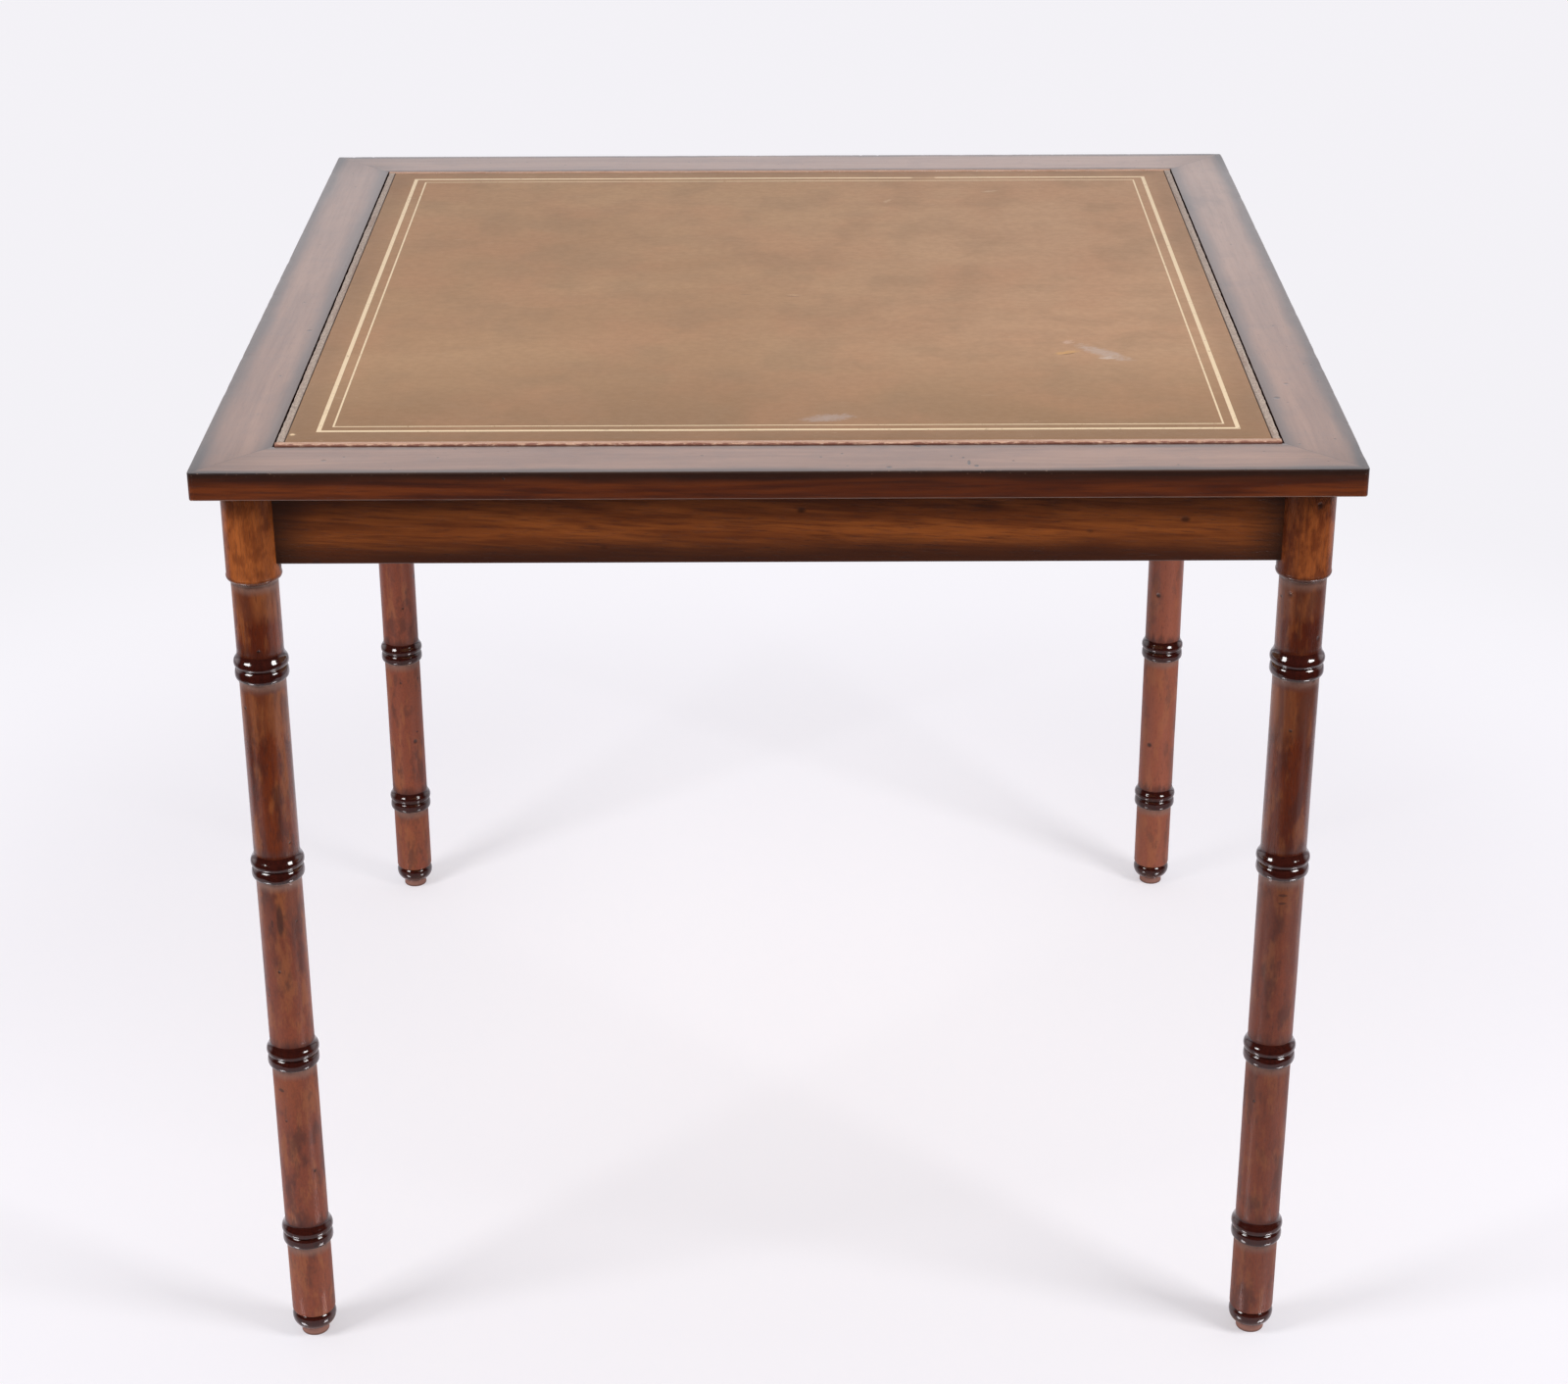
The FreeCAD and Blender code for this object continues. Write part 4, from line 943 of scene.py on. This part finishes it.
def squares_finish(name, light, dark):
    """Veneer cut into squares, each a little different in tone from its neighbours."""
    material, place = new_finish(name)
    x, y, z = place.split()
    pitch = (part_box("chess_stringing")[1].x - STRINGING_WIDTH) / 4
    figure, streaks, pores = grain(y.joined(x, z))
    counted = (x / pitch).joined(y / pitch, 0.0)
    square = counted.node("ShaderNodeVectorMath", {"operation": "FLOOR"}, {0: counted})
    chance = square.node("ShaderNodeTexWhiteNoise", {"noise_dimensions": "3D"}, {"Vector": square})
    tone = (figure.rise(0.33, 0.67) * 0.6 + chance * 0.4).between(colour(*light), colour(*dark))
    tone = (streaks.rise(0.42, 0.70) * 0.4).between(tone, colour(*dark))
    tone = (pores * 0.35).between(tone, colour(*[part * 0.6 for part in dark]))
    surface = streaks * 0.2 - pores * 0.3
    return coat(material, place, {
        "Base Color": tone, "Roughness": 0.28 + 0.12 * streaks, "Coat Weight": 0.3,
        "Coat Roughness": 0.12, "Normal": surface.relief(0.0001)})


finish_node("panel_core", veneer_finish("panel_board_finish", (136, 84, 50), (98, 54, 30)))
finish_node("chess_light_squares", squares_finish(
    "pale_squares_finish", (222, 188, 132), (188, 148, 94)))
finish_node("chess_dark_squares", squares_finish(
    "dark_squares_finish", (96, 54, 36), (58, 30, 20)))
finish_node("chess_stringing", veneer_finish("stringing_finish", (226, 194, 142), (196, 158, 104)))
finish_node("chess_banding", veneer_finish("banding_finish", (110, 46, 28), (74, 28, 18)))


# The well under the panel: a plywood floor, upright linings, two backgammon fields with inlaid
# points, a bar between them, and a tray at each side. The floor is held in grooves in the
# aprons, and the rest is glued on it.
finish_node("well_floor", veneer_finish(
    "plywood_finish", (206, 170, 120), (176, 138, 92), roughness=0.55))
lining_finish = veneer_finish("lining_finish", (132, 74, 42), (92, 46, 26))
for side in SIDES:
    finish_node("well_side_" + side, lining_finish)
finish_node("centre_bar", lining_finish)
field_finish = veneer_finish("field_finish", (150, 88, 52), (116, 62, 36))
for side in ("left", "right"):
    finish_node("playing_field_" + side, field_finish)
    finish_node("tray_divider_" + side, lining_finish)
finish_node("light_points", veneer_finish("pale_points_finish", (226, 192, 136), (194, 154, 98)))
finish_node("dark_points", veneer_finish("dark_points_finish", (76, 42, 30), (46, 24, 18)))


# The strips of green baize glued in the trays, a felted wool cloth that keeps counters quiet.
# Each is cut to its tray and lies flat on the floor of the well.
BAIZE_CELLS = (14, 220)
BAIZE_SOFTNESS = 0.0002


def baize_finish():
    material, place = new_finish("baize_finish")
    nap = place.cloud(1400.0, 4.0, 0.7)
    worn = place.cloud(26.0, 4.0, 0.6)
    tone = nap.rise(0.3, 0.7).between(colour(28, 78, 46), colour(52, 112, 70))
    tone = (worn.rise(0.45, 0.75) * 0.35).between(tone, colour(86, 122, 84))
    return coat(material, place, {
        "Base Color": tone, "Roughness": 0.85 + 0.1 * nap, "Sheen Weight": 0.5,
        "Sheen Roughness": 0.4, "Normal": nap.relief(0.0004)})


def baize_strip(side, material):
    """A strip laid in its tray: a soft upper side and cut edges, closed underneath."""
    low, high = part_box("tray_baize_" + side)
    across, lengthwise = BAIZE_CELLS
    points = []
    for level in (0, 1):
        for j in range(lengthwise + 1):
            for i in range(across + 1):
                x = low.x + (high.x - low.x) * i / across
                y = low.y + (high.y - low.y) * j / lengthwise
                soft = BAIZE_SOFTNESS * (1 - noise.noise(Vector((x * 90, y * 90, 2.0))))
                points.append((x, y, high.z - soft if level else low.z))
    row = across + 1
    layer = row * (lengthwise + 1)
    faces = []
    for j in range(lengthwise):
        for i in range(across):
            corner = j * row + i
            above = layer + corner
            faces.append((above, above + 1, above + row + 1, above + row))
            faces.append((corner, corner + row, corner + row + 1, corner + 1))
    cut_edges = [(j * row + end, row, end == 0) for j in range(lengthwise) for end in (0, across)]
    cut_edges += [(end * row + i, 1, end > 0) for i in range(across) for end in (0, lengthwise)]
    for corner, step, outwards in cut_edges:
        quad = (corner, layer + corner, layer + corner + step, corner + step)
        faces.append(quad if outwards else quad[::-1])
    strip = plain_mesh("baize_strip_" + side, points, faces, material)
    made = piece(strip, "table", ["tray_baize_" + side])


green_cloth = baize_finish()
for side in ("left", "right"):
    baize_strip(side, green_cloth)


# The studio: a pale seamless floor, two soft lamps in front of the table to its left and right,
# and soft light from all round. The varnish mirrors white walls behind the table, and a dark
# room in front of it.
FLOOR_RADIUS = 30.0
FLOOR_CORNERS = 64
FLOOR_COLOUR = (0.90, 0.885, 0.925, 1.0)
SURROUNDING = (0.91, 0.895, 0.935, 1.0)
LAMP_DISTANCE = 2.4
LAMP_SIZE = 0.75
LEFT_LAMP_POWER = 26.0
RIGHT_LAMP_POWER = 30.0
LAMP_BEARING = 56.0
LAMP_HEIGHT = 33.0
LAMP_AIM = 0.4
FILL = 0.52
# The varnish mirrors white paper up to its front end and its sides, and a dark room past them.
# In the picture itself the floor turns white over a stretch away from the table.
PAPER_END = (-1.12, -0.95)
PAPER_SIDE = (1.42, 1.26)
PAPER_GLAZE = 0.5
GLAZE_ROUGHNESS = 0.10
OFF_PAPER = (0.02, 0.02, 0.02, 1.0)
BURNT_OUT = (0.7, 1.6)
NEAR_GLOW = 0.36
BACKDROP = (-0.6, 0.4)
BACKDROP_GLOW = 0.4
OPEN_ROOM = (0.0, 0.35)
ROOM_GLOW = 0.03


def floor_finish():
    material, place = new_finish("floor_finish")
    x, y, _ = place.split()
    seen = place.node("ShaderNodeLightPath", {}, {}, "Is Camera Ray")
    distance = place.node("ShaderNodeVectorMath", {"operation": "LENGTH"}, {0: place}, "Value")
    on_paper = (y.rise(*PAPER_END) * abs(x).rise(*PAPER_SIDE)).larger(seen)
    tint = on_paper.between(OFF_PAPER, FLOOR_COLOUR)
    paper = place.node("ShaderNodeBsdfDiffuse", {}, {"Color": tint})
    far = distance.rise(*BURNT_OUT)
    behind = (1 - far) * y.rise(*BACKDROP)
    glow = place.node("ShaderNodeEmission", {}, {
        "Color": FLOOR_COLOUR, "Strength": 1.0 + BACKDROP_GLOW * behind})
    mirrored = place.node("ShaderNodeLightPath", {}, {}, "Is Glossy Ray")
    glaze = place.node("ShaderNodeBsdfAnisotropic", {}, {
        "Color": FLOOR_COLOUR, "Roughness": GLAZE_ROUGHNESS})
    paper = place.node("ShaderNodeMixShader", {}, {0: mirrored * PAPER_GLAZE, 1: paper, 2: glaze})
    lifted = place.node("ShaderNodeMixShader", {}, {
        0: seen * (NEAR_GLOW + (1 - NEAR_GLOW) * far), 1: paper, 2: glow})
    clear = place.node("ShaderNodeBsdfTransparent", {}, {})
    under = place.node("ShaderNodeNewGeometry", {}, {}, "Backfacing")
    return surfaced(material, place.node("ShaderNodeMixShader", {}, {
        0: under, 1: lifted, 2: clear}))


rim = [(FLOOR_RADIUS * math.cos(angle), FLOOR_RADIUS * math.sin(angle), 0.0)
       for angle in np.linspace(0, 2 * math.pi, FLOOR_CORNERS + 1)[:-1]]
floor = plain_mesh("studio_floor", rim, [tuple(range(FLOOR_CORNERS))], floor_finish())
set_up("studio_floor", floor)

world = bpy.data.worlds.new("studio")
world.use_nodes = True
world_tree = world.node_tree
world_tree.nodes.clear()
path = world_tree.nodes.new("ShaderNodeLightPath")
direct = Wire(world_tree, path.outputs["Is Camera Ray"])
mirrored = Wire(world_tree, path.outputs["Is Glossy Ray"]).larger(
    Wire(world_tree, path.outputs["Is Transmission Ray"]))
_, incoming, _ = direct.node("ShaderNodeNewGeometry", {}, {}, "Incoming").split()
white_wall = ROOM_GLOW + (1 - ROOM_GLOW) * (-incoming).rise(*OPEN_ROOM)
strength = direct.larger(mirrored * white_wall) + (1 - direct.larger(mirrored)) * FILL
surrounding = direct.node("ShaderNodeBackground", {}, {"Color": SURROUNDING, "Strength": strength})
world_output = world_tree.nodes.new("ShaderNodeOutputWorld")
world_tree.links.new(surrounding.socket, world_output.inputs["Surface"])
bpy.context.scene.world = world

for hand, power in ((-1, LEFT_LAMP_POWER), (1, RIGHT_LAMP_POWER)):
    lamp_data = bpy.data.lights.new("soft_lamp", "AREA")
    lamp_data.shape = "SQUARE"
    lamp_data.size = LAMP_SIZE
    lamp_data.energy = power
    lamp = set_up("soft_lamp", lamp_data)
    bearing = math.radians(LAMP_BEARING) * hand
    rise = math.radians(LAMP_HEIGHT)
    away = Vector((math.sin(bearing) * math.cos(rise), -math.cos(bearing) * math.cos(rise),
                   math.sin(rise)))
    lamp.location = away * LAMP_DISTANCE + Vector((0, 0, LAMP_AIM))
    lamp.rotation_mode = "QUATERNION"
    lamp.rotation_quaternion = away.to_track_quat("Z", "Y")

bpy.context.scene.view_settings.view_transform = "Standard"
